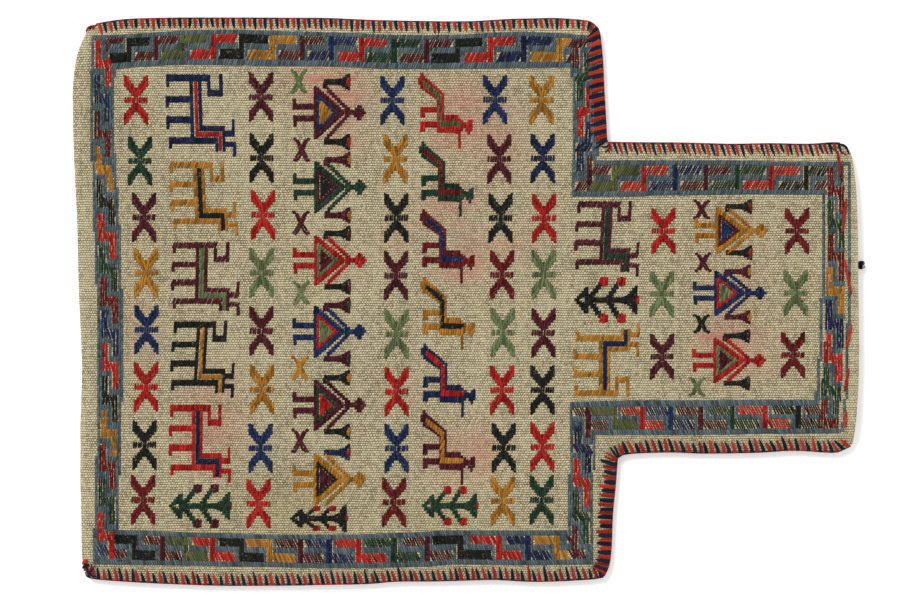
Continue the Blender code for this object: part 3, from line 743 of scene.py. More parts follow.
FOLD_INNER = ((35, 116), (68, 115.8), (80, 114.6), (100, 113.6), (130, 114.1), (160, 115.2),
              (190, 117.5), (220, 119.2), (240, 120.8), (300, 122.2), (340, 123.2), (400, 122),
              (440, 120.8), (480, 119.4), (565, 119))
NECK_TOP_OUTER = ((571, 160.3), (700, 160.4), (740, 160.6), (780, 161.8), (851, 161.8))
NECK_TOP_INNER = ((571, 196.4), (640, 196.4), (655, 195.5), (700, 195.2), (745, 194), (851, 195))
NECK_LOW_OUTER = ((568, 435), (700, 434.7), (730, 434.6), (760, 433.6), (851, 433))
NECK_LOW_INNER = ((568, 402), (600, 401.1), (640, 400.6), (700, 400.8), (760, 399.6), (851, 400.4))
MOUTH_INNER = ((160, 827.5), (260, 827.5), (300, 826), (340, 825), (368, 823), (400, 821),
               (430, 818.5))
MOUTH_OUTER = ((160, 844.6), (300, 844.2), (340, 843.3), (390, 841), (410, 839.5), (430, 837.5))


def edge(line, at):
    """The edge's place where the band's own coordinate is at."""
    return np.interp(at, [p[0] for p in line], [p[1] for p in line])


def in_band(outer, inner, along_x, points):
    """Points of (place along, share of the width) put between the band's edges."""
    bent = []
    for at, share in points:
        off = edge(outer, at) + share * (edge(inner, at) - edge(outer, at))
        bent.append((at, off) if along_x else (off, at))
    return bent


BEND_STEP = 12


def stretch(start, end, share_a, share_b):
    """A bar along a band, with points between its ends so that it can bend."""
    count = max(2, int((end - start) / BEND_STEP) + 1)
    line = np.linspace(start, end, count)
    return [(at, share_a) for at in line] + [(at, share_b) for at in line[::-1]]


grounds = []
units = []
HATCH_COVER = {"maroon": 0.77, "dark_red": 0.84, "red": 0.86, "gold": 0.88, "blue": 0.82,
               "navy": 0.92, "green": 0.92, "black": 0.95, "olive": 0.95}
NECK_COVER = {dye: 0.70 for dye in HATCH_COVER} | {"olive": 0.95}
HATCH_LENGTH = 9.5


def hooked(outer, inner, along_x, places, dye, shares, lean, covers=HATCH_COVER):
    """One unit: the inner bar's span, the outer bar's span and the stem where they overlap.

    Each part's way of working is its lean, cover and float length."""
    a, b, c, d = places
    inner_a, inner_b, outer_a, outer_b = shares
    if along_x:
        hatched, solid = (lean, covers[dye], HATCH_LENGTH), (0.05, 0.97, FLOAT_LENGTH)
        parts = ((a, c, inner_a, inner_b, hatched), (b, d, outer_a, outer_b, hatched),
                 (c, b, outer_a, inner_b, solid))
    else:
        hatched, solid = (lean / 2, 0.88, HATCH_LENGTH), (0.04, 0.93, FLOAT_LENGTH)
        parts = ((a, b, inner_a, inner_b, solid), (c, d, outer_a, outer_b, solid),
                 (max(a, c), min(b, d), outer_b, inner_a, hatched))
    for start, end, s, t, how in parts:
        if end - start > 0.5:
            units.append((dye, in_band(outer, inner, along_x, stretch(start, end, s, t)), how))


print("a band's place half way along the top:", edge(TOP_OUTER, 345).round(1))

# %% The long bands
LONG_DYES = ("black", "maroon", "olive", "red", "black", "gold", "maroon", "blue", "red", "green",
             "maroon", "black", "red", "navy", "gold")
TOP_SHARES = (0.54, 0.83, 0.12, 0.37)
TOP_UNITS = ((109.5, 131.5, 126.5, 149.5), (135.5, 158, 153.5, 177.5), (162, 184.5, 180, 206),
             (190.5, 216, 211, 236), (220, 244, 239, 268), (248.5, 275, 270, 296),
             (278.5, 304.5, 300, 324.5), (308.5, 334, 329, 356), (338, 364, 359, 386.5),
             (367.5, 397, 390.5, 419), (400.5, 429, 424, 452), (432, 460, 455, 482.5),
             (464.5, 493, 488, 515.5), (498, 526.5, 521, 552), (530, 562, 557, 570))
LOW_SHARES = (0.60, 0.86, 0.145, 0.43)
LOW_UNITS = ((114, 137, 132, 155), (143, 165, 160, 181.5), (168, 188, 184, 207.5),
             (193, 215, 210, 235), (219.5, 244, 239, 264), (246.5, 272, 267, 295),
             (276, 303, 298, 322.5), (306, 332, 326, 353), (335.5, 361, 356, 387),
             (365, 397, 391, 419), (402.5, 430, 425, 453), (433, 463.5, 457.5, 491),
             (470, 502, 496, 521.5), (507, 531, 525, 550), (534, 560, 554, 568))
RIGHT, LEFT = 0.48, -0.48
for places, dye in zip(TOP_UNITS, LONG_DYES):
    hooked(TOP_OUTER, TOP_INNER, True, places, dye, TOP_SHARES, RIGHT)
for places, dye in zip(LOW_UNITS, LONG_DYES):
    hooked(LOW_OUTER, LOW_INNER, True, places, dye, LOW_SHARES, LEFT)
FOLD_SHARES = (0.60, 0.82, 0.155, 0.39)
FOLD_UNITS = ((40, "red"), (75, "blue"), (110.5, "maroon"), (146, "gold"), (179, "black"),
              (213, "red"), (245, "green"), (277.5, "dark_red"), (310, "blue"), (343, "red"),
              (376, "black"), (410, "gold"), (443, "dark_red"), (478, "green"), (512.5, "red"))
for start, dye in FOLD_UNITS:
    hooked(FOLD_OUTER, FOLD_INNER, False, (start + 19, start + 46.5, start, start + 28.5), dye,
           FOLD_SHARES, LEFT)
print("units so far:", len(units))

# %% The neck and the mouth
NECK_DYES = ("maroon", "olive", "red", "blue", "maroon", "green", "red", "black", "maroon")
NECK_TOP_UNITS = ((576, 592, 587, 609), (590, 617.5, 612, 639), (621, 646, 641, 668),
                  (650, 677.5, 672.5, 701), (681.5, 708, 703.5, 731), (712.5, 739.5, 735, 765),
                  (743, 774, 768.5, 799), (780, 808.5, 804, 827), (815, 827, 827, 827))
NECK_LOW_UNITS = ((574, 591, 585.5, 609), (590, 617, 612.5, 637), (621, 645, 640, 664),
                  (647, 673, 668, 695), (677, 703, 698, 726), (709, 734.5, 730, 759),
                  (737.5, 767.5, 762.5, 790), (773, 801, 795.5, 820), (805, 821, 821, 821))
for outer, inner, placings, shares, lean in (
        (NECK_TOP_OUTER, NECK_TOP_INNER, NECK_TOP_UNITS, (0.58, 0.86, 0.13, 0.42), 0.55),
        (NECK_LOW_OUTER, NECK_LOW_INNER, NECK_LOW_UNITS, (0.56, 0.83, 0.15, 0.44), -0.5)):
    for places, dye in zip(placings, NECK_DYES):
        hooked(outer, inner, True, places, dye, shares, lean, NECK_COVER)
MOUTH_UNITS = ((167, 196, 186, 214, "dark_red"), (200, 228, 219, 248, "green"),
               (233, 261, 252, 281, "dark_red"), (267, 296, 286, 314, "gold"),
               (300, 330, 319, 348, "navy"), (333.5, 363, 353, 382, "red"),
               (368, 396, 386, 414, "green"), (400, 428.5, 418, 428.5, "dark_red"))
for *places, dye in MOUTH_UNITS:
    hooked(MOUTH_OUTER, MOUTH_INNER, False, places, dye, (0.64, 1.0, 0.0, 0.33), LEFT)
print("units so far:", len(units))

# %% The shoulders and the corners
STEMS = (("maroon", 572.5, 47, 579, 68), ("green", 584, 53, 589, 80),
         ("green", 576.5, 80, 583, 101), ("red", 586, 87, 589.5, 108),
         ("red", 577, 114, 583.5, 137), ("navy", 585, 122, 591, 144),
         ("navy", 576.5, 150, 584, 171), ("navy", 574.5, 426, 582, 446),
         ("navy", 585, 451, 591.5, 473), ("red", 573.5, 458, 580, 480),
         ("red", 584, 485, 590.5, 507), ("green", 572.5, 492, 579.5, 514),
         ("green", 583, 518, 589, 544), ("maroon", 571.5, 526, 577.5, 550),
         ("maroon", 587, 156, 592, 166), ("maroon", 585.5, 429, 591, 438),
         ("maroon", 106, 44, 108.7, 52), ("red", 109, 540, 113.4, 558))
BLOCKS = (("maroon", 570, 39, 586, 47.5, RIGHT), ("maroon", 567.5, 54, 573, 63, RIGHT),
          ("green", 575.5, 73, 588.5, 81.5, RIGHT), ("red", 577, 107, 589, 115.5, RIGHT),
          ("navy", 576.5, 142.5, 591, 151.5, RIGHT), ("navy", 574.5, 444.5, 591.5, 453, LEFT),
          ("red", 573.5, 478, 590.5, 487, LEFT), ("green", 572.5, 512, 589, 521, LEFT),
          ("maroon", 567.5, 535.5, 572, 544, LEFT), ("maroon", 570, 549, 585, 559, LEFT),
          ("maroon", 106, 37.5, 123, 44, RIGHT), ("maroon", 113.4, 549.5, 126.5, 558, LEFT),
          ("blue", 98, 544.5, 108, 556, LEFT))
for dye, x0, y0, x1, y1 in STEMS:
    units.append((dye, bar(x0, y0, x1, y1), (0.04, 0.92, FLOAT_LENGTH)))
for dye, x0, y0, x1, y1, lean in BLOCKS:
    units.append((dye, bar(x0, y0, x1, y1), (lean, 0.86, 9.0)))
print("border shapes:", len(units))

# %% The slate ground between the units
for outer, inner, along_x, start, end, lean in (
        (TOP_OUTER, TOP_INNER, True, 91.5, 597, 0.34), (LOW_OUTER, LOW_INNER, True, 93, 593, -0.34),
        (FOLD_OUTER, FOLD_INNER, False, 69.6, 529.6, 0.1),
        (NECK_TOP_OUTER, NECK_TOP_INNER, True, 572, 843.5, 0.34),
        (NECK_LOW_OUTER, NECK_LOW_INNER, True, 570, 838.5, -0.34),
        (MOUTH_OUTER, MOUTH_INNER, False, 195, 400.5, 0.1)):
    grounds.append((in_band(outer, inner, along_x, stretch(start, end, 0, 1)), lean))
PLAIN_GROUNDS = (
    ((570.5, 67.4), (597, 67.4), (599, 150), (597, 160.3), (573, 160.3), (573.2, 90)),
    ((570.2, 435), (595.2, 435), (593.6, 480), (592.3, 530.5), (568, 530.5), (568.6, 500)),
    ((843.5, 161.8), (850.6, 161.8), (850.6, 165.2), (843.5, 165.2)),
    ((821.8, 195), (825, 195), (824.6, 290), (823.2, 310), (822, 340), (820.2, 380), (818.6, 400.4),
     (814.5, 400.4), (817.4, 380), (819.4, 340), (820.4, 310), (821.5, 290)),
    ((847.9, 165), (850.6, 165), (850.6, 230), (849.8, 300), (849.2, 350), (848, 380), (846.8, 402),
     (844, 431), (838.5, 433.2), (838.5, 429.6), (841.4, 429), (844.4, 402), (845.6, 380),
     (846.6, 350), (847.3, 300), (847.9, 230)))
for shape in PLAIN_GROUNDS:
    grounds.append((shape, 0.1))
UNIT_MARGIN = 0.45
GROUND_COVER, GROUND_LENGTH = 0.88, 4.4
BEDDED_COVER = 0.93
unit_shapes = []
for _, shape, _ in units:
    grown = np.asarray(shape, float)
    unit_shapes.append(grown + np.sign(grown - grown.mean(0)) * (UNIT_MARGIN, 0))
for ground, lean in grounds:
    low = np.min(np.asarray(ground, float), axis=0)
    high = np.max(np.asarray(ground, float), axis=0)
    near = [s for s in unit_shapes
            if np.all(np.max(s, axis=0) > low) and np.all(np.min(s, axis=0) < high)]
    work("slate", ground, holes=near, lean=lean, cover=GROUND_COVER, length=GROUND_LENGTH)
for dye, shape, (lean, cover, length) in units:
    work(dye, shape, lean=lean, cover=cover, length=length, bed=cover > BEDDED_COVER)
print("border floats:", sum(len(f) for f in floats.values()))

# %% [markdown]
# ## Stars, crosses and goats
# The field's motifs are old tribal ones, and the weaver repeated each from memory. A motif is
# written once, as shapes round its own middle, and then worked at each place in its dye. Small
# changes of size and lean from place to place keep the hand of the weaver.

# %% Stars
UPPER_LOBE = ((10.8, -24.5), (8.5, -23.5), (5.5, -18.5), (0, -11), (0, -2.6), (2.8, -3.4),
              (9, -11), (12, -14.5), (12, -22))
LOWER_LOBE = ((0, 2.6), (0, 10.5), (5, 16.5), (8.5, 23), (10.8, 24.5), (12, 22), (12, 14.5),
              (8.5, 10.5), (2.8, 3.4))
STAR_LOBES = [([(side * x, y) for x, y in lobe], side * lean)
              for lobe, lean in ((UPPER_LOBE, 0.22), (LOWER_LOBE, -0.22)) for side in (-1, 1)]
STAR_BAR = bar(-11.8, -2.8, 11.8, 2.8)
STARS = (
    ((136, 100, "red"), (140, 161, "green"), (144, 217.5, "maroon"), (146, 273, "gold"),
     (146.5, 329.6, "blue"), (146, 387, "red"), (144.5, 445, "black"), (143, 500, "dark_red")),
    ((261, 97, "maroon"), (261.5, 158, "black"), (263, 215, "red"), (261.5, 273, "light_green"),
     (261.4, 331, "maroon"), (262, 389.6, "gold"), (260.6, 448, "blue"), (258.5, 503.7, "red")),
    ((392.4, 100.5, "blue"), (395.5, 159, "gold"), (396.3, 218, "black"), (396, 275.6, "maroon"),
     (396.6, 334, "light_green"), (396.6, 391.7, "red"), (396.5, 448.4, "blue"),
     (394, 502.3, "dark_red")),
    ((495, 99.7, "blue"), (499.3, 159, "maroon"), (500.5, 218, "black"), (502, 275, "dark_red"),
     (502.7, 332.6, "light_green"), (502, 390, "red"), (503.7, 447.7, "black"),
     (502.8, 501, "gold")),
    ((541.5, 100, "gold"), (542.7, 158.4, "navy"), (544, 218.3, "red"),
     (543.7, 274.8, "light_green"), (543.5, 333, "maroon"), (542.5, 390, "black"),
     (542.3, 447, "red"), (541.6, 500, "green")),
    ((663.4, 231, "red"), (661.8, 294, "light_green"), (662, 356.6, "maroon")),
    ((797, 231, "dark_red"), (795.6, 293, "light_green"), (793, 355, "dark_red")),
)
for column in STARS:
    tall = 0.93 if len(column) == 3 else 1.0
    for x, y, dye in column:
        for lobe, lean in STAR_LOBES:
            motif(((dye, lobe),), x, y, tall=tall, lean=lean)
        motif(((dye, STAR_BAR),), x, y, tall=tall, cover=0.94, lean=0.1, bed=False)
print("stars:", sum(len(column) for column in STARS))

# %% Goats
GOAT_BODY = (bar(-25, -2.7, 19, 4), bar(-26, 19, 0, 25), bar(-26, 39, 0, 45.7),
             bar(-24, 60, 25, 66.3), bar(-25, 4, -22, 9.5), bar(-26, 25, -23, 30),
             bar(-26, 45.7, -23, 51), bar(-24, 66.3, -21, 71), bar(-1.8, 3, 1.4, 60),
             bar(6.8, 4, 10, 49),
             bar(16, 4, 19.2, 19), bar(19.2, 12.7, 28, 19), bar(28, -3, 31.4, 19),
             bar(6.8, 48.4, 32.2, 53.6), bar(29.6, 53.6, 32.4, 74), bar(22.4, 66.3, 25.2, 74),
             bar(32.4, 53.2, 42, 59.2), bar(39.5, 42, 42, 53.2), bar(32.4, 64.5, 43, 69.4),
             bar(40, 69.4, 43, 79))
THIN_CORE = (bar(3.0, 4, 6.0, 59.2), bar(6.0, 54.7, 28.6, 59.2), bar(25.8, 59.2, 28.6, 73))
WIDE_CORE = (bar(2.2, 4, 6.8, 59.8), bar(6.8, 54, 29.2, 59.8), bar(25.4, 59.8, 29.4, 73))
GOATS = (
    (191, 77.3, 1.003, 0.03, (1.0, 1.0), "navy", "red"),
    (194.5, 164.5, 0.90, 0.05, (1.0, 0.93), "gold", "black"),
    (198, 244.7, 0.894, -0.02, (1.0, 1.0), "maroon", "light_green"),
    (199, 324, 0.93, -0.06, (1.0, 0.90), "black", "gold"),
    (194, 407.5, 0.95, -0.01, (0.95, 0.87), "red", "navy"),
    (604, 204, 0.917, -0.05, (1.06, 0.88), "maroon", "green"),
    (601, 393.8, -0.88, 0.0, (1.06, 0.90), "gold", "navy"),
)
for x, y, tall, skew, (left, right), dye, core in GOATS:
    for k, shapes in enumerate((GOAT_BODY, THIN_CORE if dye in ("navy", "black") else WIDE_CORE)):
        for shape in shapes:
            p = np.array(shape, float)
            lying = np.ptp(p[:, 0]) > np.ptp(p[:, 1])
            p[:, 0] *= np.where(p[:, 0] < 0, left, right)
            how = {"cover": 1.0, "lean": 0.15}
            if lying and k == 0 and dye in ("maroon", "gold"):
                how = {"cover": 0.95, "lean": 0.40, "bed": False}
            motif(((core if k else dye, p),), x, y, tall=tall, skew=skew, **how)
print("goats:", len(GOATS))

# %% [markdown]
# ## Birds, standing figures and trees
# The birds and the standing figures have a filled middle in a second dye, and the figures a third.
# Each middle is its own shape, listed after the one round it, so that it cuts its own room there.

# %% Birds
BIRD_BODY = ((1.5, 0), (6, 5), (17, 14), (23, 20), (24, 42), (37, 42), (40, 46), (46, 51),
             (51, 45), (52.5, 53), (50, 63), (44, 55), (40.5, 60), (39.5, 75), (37, 60),
             (16, 59.5), (16, 54.5), (4, 54.5), (4, 58.5), (1, 58.5), (1, 48.5), (16, 48.5),
             (16, 39.5), (4, 39.5), (4, 44.5), (1, 44.5), (1, 34), (16, 34), (16, 26), (0, 15),
             (-2, 7))
BIRD_CORE = ((3, 7), (8, 10.5), (20, 20), (22.2, 26), (22.2, 47.5), (40, 48), (41.5, 50.5),
             (39, 53.5), (18.5, 53.5), (18.5, 26), (4, 13))
BIRDS = ((420, 73, 1.0, "red", "olive"), (421, 141.5, 1.0, "green", "dark_red"),
         (422, 209, 0.99, "dark_red", "blue"), (422.5, 277, 0.97, "gold", "black"),
         (423, 343.5, 0.985, "navy", "red"), (422.5, 410.5, 0.99, "maroon", "gold"))
for x, y, tall, dye, core in BIRDS:
    motif(((dye, BIRD_BODY), (core, BIRD_CORE)), x, y, tall=tall, lean=0.16)
print("birds:", len(BIRDS))

# %% Standing figures, their hands and the crosses
FIGURE = (
    ("outer", ((-1.2, -26.5), (2, -25.5), (31, 0), (2, 26), (-1.2, 27))),
    ("inner", ((1.4, -18.5), (4.5, -17), (23, 0), (4.5, 17), (1.4, 18.5))),
    ("core", ((4.8, -12), (7.2, -11), (17.5, 0), (7.2, 11), (4.8, 12))),
)
ARMS = ((9.5, -26.5), (13.2, -25.2), (34.6, -3.6), (34.6, 3.6), (13.2, 26.2), (9.5, 27.5),
        (11.5, 22.8), (29.6, 4), (32, 0), (29.6, -4), (11.5, -21.8))
HEAD = ((40, -3), (44, -8.5), (47, -5), (51, 0), (47, 5), (44.5, 9.5), (40, 3))
FIGURE_REST = (ARMS, bar(30, -2.4, 43, 2.4), HEAD, bar(-22.5, -8.7, -1.5, -3.2),
               bar(-22, 3, -1.5, 8.7), bar(-22.5, -13.5, -19, -8.7), bar(-21.5, 8.7, -18.4, 13.8))
HAND = ((0, -2.9), (13, -2.9), (19, -4), (24.5, -9), (26.5, -8), (26.5, 8), (24.5, 9), (19, 4),
        (13, 2.9), (0, 2.9))
HAND_TIP = ((22.8, 0), (25.4, -5), (27, -3.6), (27, 3.6), (25.4, 5))
FIGURES = (
    (315, 112.6, 1.0, "maroon", "blue", "gold", "black", "red", 82, 142),
    (315.5, 187, 0.97, "green", "maroon", "black", "maroon", "gold", 159.8, 215.2),
    (315.5, 260.3, 0.94, "red", "light_green", "maroon", "black", "maroon", 233.5, 286.8),
    (315, 331.6, 0.98, "blue", "red", "light_green", "maroon", "green", 305.4, 358.8),
    (315, 405, 0.96, "maroon", "green", "red", "black", "gold", 377.7, 431.7),
    (315, 479.2, 0.97, "gold", "black", "maroon", "navy", "red", 452.4, None),
    (717, 230.4, 0.88, "gold", "maroon", "blue", "black", "red", 206.5, 252.8),
    (715.5, 293, 0.85, "blue", "red", "light_green", "maroon", "gold", 271.6, 317),
    (714.7, 360.3, 0.85, "red", "light_green", "maroon", "black", "black", 336, 383.3),
)
for x, y, tall, outer, inner, core, hand, tip, hand_up, hand_low in FIGURES:
    dyes = {"outer": outer, "inner": inner, "core": core}
    motif(tuple((dyes[part], shape) for part, shape in FIGURE), x, y, tall=tall, cover=1.0)
    for shape in FIGURE_REST:
        motif(((outer, shape),), x, y, tall=tall, cover=1.0)
    for hand_y in (hand_up, hand_low):
        if hand_y is not None:
            motif(((hand, HAND), (tip, HAND_TIP)), x + 9, hand_y, wide=0.98, tall=0.95 * tall)
    if hand_low is not None:
        motif(((hand, bar(-1, 0, 3.6, 6)),), x + 9, hand_up, tall=tall)
CROSS_ARMS = (((-9.3, -12), (-3.9, -12), (9.3, 11), (3.9, 12)),
              ((3.9, -12), (9.3, -12), (-3.9, 12), (-9.3, 11)))
CROSSES = ((298.8, 81.6, "light_green"), (301.6, 150, "maroon"), (301, 223, "maroon"),
           (301, 293, "light_green"), (300, 368, "gold"), (300, 441, "maroon"),
           (701.7, 209.7, "maroon"), (703, 262.6, "maroon"), (701.7, 324, "black"),
           (697, 387, "light_green"))
for x, y, dye in CROSSES:
    small = 0.8 if x > 600 else 1.0
    for arm, lean in zip(CROSS_ARMS, (-0.55, 0.55)):
        motif(((dye, arm),), x, y, tall=small, wide=0.92, lean=lean, length=5, cover=1.02,
              bed=False)
print("figures:", len(FIGURES), "crosses:", len(CROSSES))

# %% Trees
TREE_ARROW = (((0, 0), (11, -12.5), (13.5, -12), (13.5, -5), (4.5, -0.5), (4.5, 0.5), (13.5, 5),
               (13.5, 12), (11, 13.5)),)
TREE_STEM = (bar(10, -6, 15, 6), bar(13, -2.7, 60, 2.7))
TREE_BOUGHS = [[(x, side * y) for x, y in bough]
               for bough in (((13, 3), (24, 17), (28, 15), (18, 2)),
                             ((31, 3), (41, 18), (45, 16), (36, 2))) for side in (-1, 1)]
TREE_FLARE = (((46, -2.5), (52, -5), (59, -14), (61, -13), (61, 13), (59, 14), (52, 5), (46, 2.5)),)
TREE_DOTS = (*[((x - 4, y - 2), (x - 2, y - 4.4), (x + 2, y - 4.4), (x + 4, y - 2), (x + 4, y + 2),
                (x + 2, y + 4.4), (x - 2, y + 4.4), (x - 4, y + 2))
               for x in (28.5, 45.5) for y in (-17.5, 17.5)],
             ((56.5, 0), (62.5, -5), (62.5, 5)))
TREES = ((169, 506, 1.0, (1.0, 1.0, 1.0), "green", "maroon"),
         (290, 518.4, 0.93, (0.72, 0.57, 1.0), "black", "red"),
         (422, 505.8, 0.9, (0.9, 0.9, 0.9), "green", "red"),
         (574.5, 300, 1.03, (1.05, 1.05, 1.05), "black", "red"))
for x, y, wide, (arrow, boughs, flare), dye, dot in TREES:
    for shapes, tall, yarn in ((TREE_ARROW, arrow, dye), (TREE_STEM, 1.0, dye),
                               (TREE_BOUGHS, boughs, dye), (TREE_FLARE, flare, dye),
                               (TREE_DOTS, boughs, dot)):
        for shape in shapes:
            motif(((yarn, shape),), x, y, wide=wide, tall=tall)
print("floats in all:", sum(len(f) for f in floats.values()))

# %% [markdown]
# ## From floats to mesh
# A float is a small half-round strand, widest and highest in its middle, whose ends dive into the
# cloth. All floats of one dye go into one mesh, worked out at once with arrays. Ten thousand
# separate objects would slow the scene down.

# %% The brocade pieces
STATIONS = np.array([0.0, 0.14, 0.5, 0.86, 1.0])
SWELL = np.array([0.70, 1.0, 1.04, 1.0, 0.70])
RISE = np.array([0.15, 0.82, 1.0, 0.82, 0.15])
OVERLAP = 1.14
BED_HEIGHT = 0.00016
BED_HALF = 0.54
FLOAT_HEIGHT = 0.00085
FLOAT_DIP = 0.00012
FLOAT_TWIST = 0.0016
STRAY_X, STRAY_Y, STRAY_LEAN, STRAY_HEIGHT, STRAY_SHADE = 0.16, 0.22, 0.05, 0.12, 0.26
AROUND = np.linspace(0, math.pi, 5)


def float_mesh(dye, rows):
    """Makes one object of all floats of a dye."""
    rows = np.array(rows)
    count = len(rows)
    x, y, step, column, cover, lean, bed = rows.T
    length, width = step * OVERLAP, column * cover
    jitter = rng.normal(0, 1, (4, count))
    bed_x = x[:, None] + column[:, None] * np.array([-1, 1, 1, -1]) * BED_HALF
    bed_y = y[:, None] + step[:, None] * np.array([-0.5, -0.5, 0.5, 0.5])
    x = x + STRAY_X * jitter[0]
    y = y + STRAY_Y * jitter[1]
    lean = lean + STRAY_LEAN * jitter[2]
    t = STATIONS[None, :] - 0.5
    cx = x[:, None] - t * (length * lean)[:, None]
    cy = y[:, None] + t * length[:, None]
    centre_px = np.stack([cx, cy], -1)
    z = front_height(centre_px.reshape(-1, 2)).reshape(count, -1)
    side = np.stack([np.ones(count), lean], -1)
    side /= np.hypot(*side.T)[:, None]
    half = (width[:, None] * SWELL / 2)[..., None] * np.cos(AROUND)
    px = cx[..., None] + half * side[:, None, None, 0]
    py = cy[..., None] + half * side[:, None, None, 1]
    height = FLOAT_HEIGHT * (1 + STRAY_HEIGHT * jitter[3])
    lift = height[:, None, None] * RISE[:, None] * np.sin(AROUND)
    place = metres(np.stack([px, py], -1))
    verts = np.concatenate([place, (z[..., None] + lift - FLOAT_DIP)[..., None]], -1)
    verts = verts.reshape(-1, 3)
    n, m = len(STATIONS), len(AROUND)
    corner = (np.arange(count)[:, None, None] * n * m
              + np.arange(n - 1)[:, None] * m + np.arange(m - 1))
    quads = np.stack([corner, corner + 1, corner + m + 1, corner + m], -1).reshape(-1, 4)
    # Under most shapes a flat sheet of the dye fills the gaps between the floats. It is drawn dark
    # as painted shade between them.
    has_bed = bed > 0.5
    bed_px = np.stack([bed_x[has_bed], bed_y[has_bed]], -1)
    bed_z = front_height(bed_px.reshape(-1, 2)).reshape(-1, 4) + BED_HEIGHT
    bed_verts = np.concatenate([metres(bed_px), bed_z[..., None]], -1).reshape(-1, 3)
    bed_quads = len(verts) + np.arange(len(bed_verts)).reshape(-1, 4)[:, ::-1]
    verts, quads = np.vstack([verts, bed_verts]), np.vstack([quads, bed_quads])
    made = mesh_object("brocade_" + dye, verts.tolist(), quads.tolist())
    # The bed's points get shade 0, the dye's darkest tone: painted shade in the gaps between the
    # floats.
    shade = np.concatenate([np.repeat(np.clip(0.5 + STRAY_SHADE * jitter[3], 0, 1), n * m),
                            np.zeros(len(bed_verts))])
    store(made, "shade", "FLOAT", shade.astype(np.float32))
    strand = np.zeros((count, n, m, 3), np.float32)
    strand[..., 0] = AROUND / math.pi
    strand[..., 1] = (STATIONS[None, :] * length[:, None] * PIXEL / FLOAT_TWIST)[..., None]
    strand = np.concatenate([strand.ravel(), np.zeros(3 * len(bed_verts), np.float32)])
    store(made, "strand", "FLOAT_VECTOR", strand)
    made.data.materials.append(WOOL[dye])
    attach(made, "root")
    print(made.name, count, "floats")


for dye, rows in floats.items():
    if rows:
        float_mesh(dye, rows)

# %% [markdown]
# ## Yarns
# The seams, the running stitch and the loose end are round yarns. A curve with a bevel could be
# used, but its twist can't carry the stored numbers that the wool finish needs. So one function
# sweeps a ring along a path and stores how far round and how far along each point is.

# %% Sweeping a yarn
YARN_TWIST = 0.0026
STRAY_TONE = 0.25
UPRIGHT = 0.2
TINY = 1e-12


def sweep(paths, sides=6):
    """Vertices, faces and strand numbers for yarns of (x, y, z, half width, half height)."""
    verts, quads, strand, shade = [], [], [], []
    for path in paths:
        p = np.asarray(path, float)
        way = np.gradient(p[:, :3], axis=0)
        way /= np.linalg.norm(way, axis=1)[:, None] + TINY
        steps = np.linalg.norm(np.diff(p[:, :3], axis=0), axis=1)
        along = np.concatenate([[0], np.cumsum(steps)])
        flat = np.cross(way, (0, 0, 1.0))
        weak = np.linalg.norm(flat, axis=1) < UPRIGHT
        if weak.any() and not weak.all():
            flat[weak] = flat[~weak][np.argmin(np.abs(np.flatnonzero(weak)[:, None]
                                                      - np.flatnonzero(~weak)), axis=1)]
        flat /= np.linalg.norm(flat, axis=1)[:, None] + TINY
        up = np.cross(flat, way)
        tone = 0.5 + STRAY_TONE * float(rng.normal())
        first = len(verts)
        for k in range(len(p)):
            for s in range(sides):
                a = 2 * math.pi * s / sides
                out = flat[k] * math.cos(a) * p[k, 3] + up[k] * math.sin(a) * p[k, 4]
                verts.append(tuple(p[k, :3] + out))
                strand.append((s / sides, along[k] / YARN_TWIST, 0))
                shade.append(min(1, max(0, tone)))
        for k in range(len(p) - 1):
            for s in range(sides):
                a, b = first + k * sides + s, first + k * sides + (s + 1) % sides
                quads.append((a, b, b + sides, a + sides))
        quads.append(tuple(first + s for s in reversed(range(sides))))
        quads.append(tuple(first + (len(p) - 1) * sides + s for s in range(sides)))
    return verts, quads, strand, shade


def yarn_piece(name, paths, dye, sides=6):
    """Yarns of one dye as one object."""
    verts, quads, strand, shade = sweep(paths, sides)
    made = mesh_object(name, verts, quads)
    store(made, "shade", "FLOAT", shade)
    store(made, "strand", "FLOAT_VECTOR", [v for triple in strand for v in triple])
    made.data.materials.append(WOOL[dye])
    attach(made, "root")
    return made


print("a yarn has 6 sides and two capped ends")

# %% [markdown]
# ## The overcast sides
# Along both sides a red and a navy yarn take turns over the edge. Each stitch is two wraps side by
# side that share one hole in the cloth, so it narrows to its hole. The weaver pulled the yarn at a
# different slant on each side, so the style of a stitch depends on where it is. Each wrap is swept
# from its hole on the front, round the edge, to its hole on the back.

# %% The wraps
BACK_REACH, BACK_SLIDE, TURN_IN = 7.0, 0.6, 1.2
FRONT_DIP, FRONT_LIFT = 0.0003, 0.0009
BACK_DIP, BACK_LIFT, LOWEST = 0.0004, 0.0006, 0.0003
EDGE_DROP = 0.001625
FLATTENED = 0.85
TANGENT = 3


def edge_frame(line):
    """A function that gives the place and the inward direction at a distance along a line."""
    p = np.asarray(line, float)
    steps = np.hypot(*np.diff(p, axis=0).T)
    along = np.concatenate([[0], np.cumsum(steps)])

    def at(s):
        q = np.array([np.interp(s, along, p[:, k]) for k in (0, 1)])
        before = np.array([np.interp(s - TANGENT, along, p[:, k]) for k in (0, 1)])
        after = np.array([np.interp(s + TANGENT, along, p[:, k]) for k in (0, 1)])
        way = (after - before) / (np.hypot(*(after - before)) + 1e-9)
        return q, np.array([-way[1], way[0]])
    return at, float(along[-1])


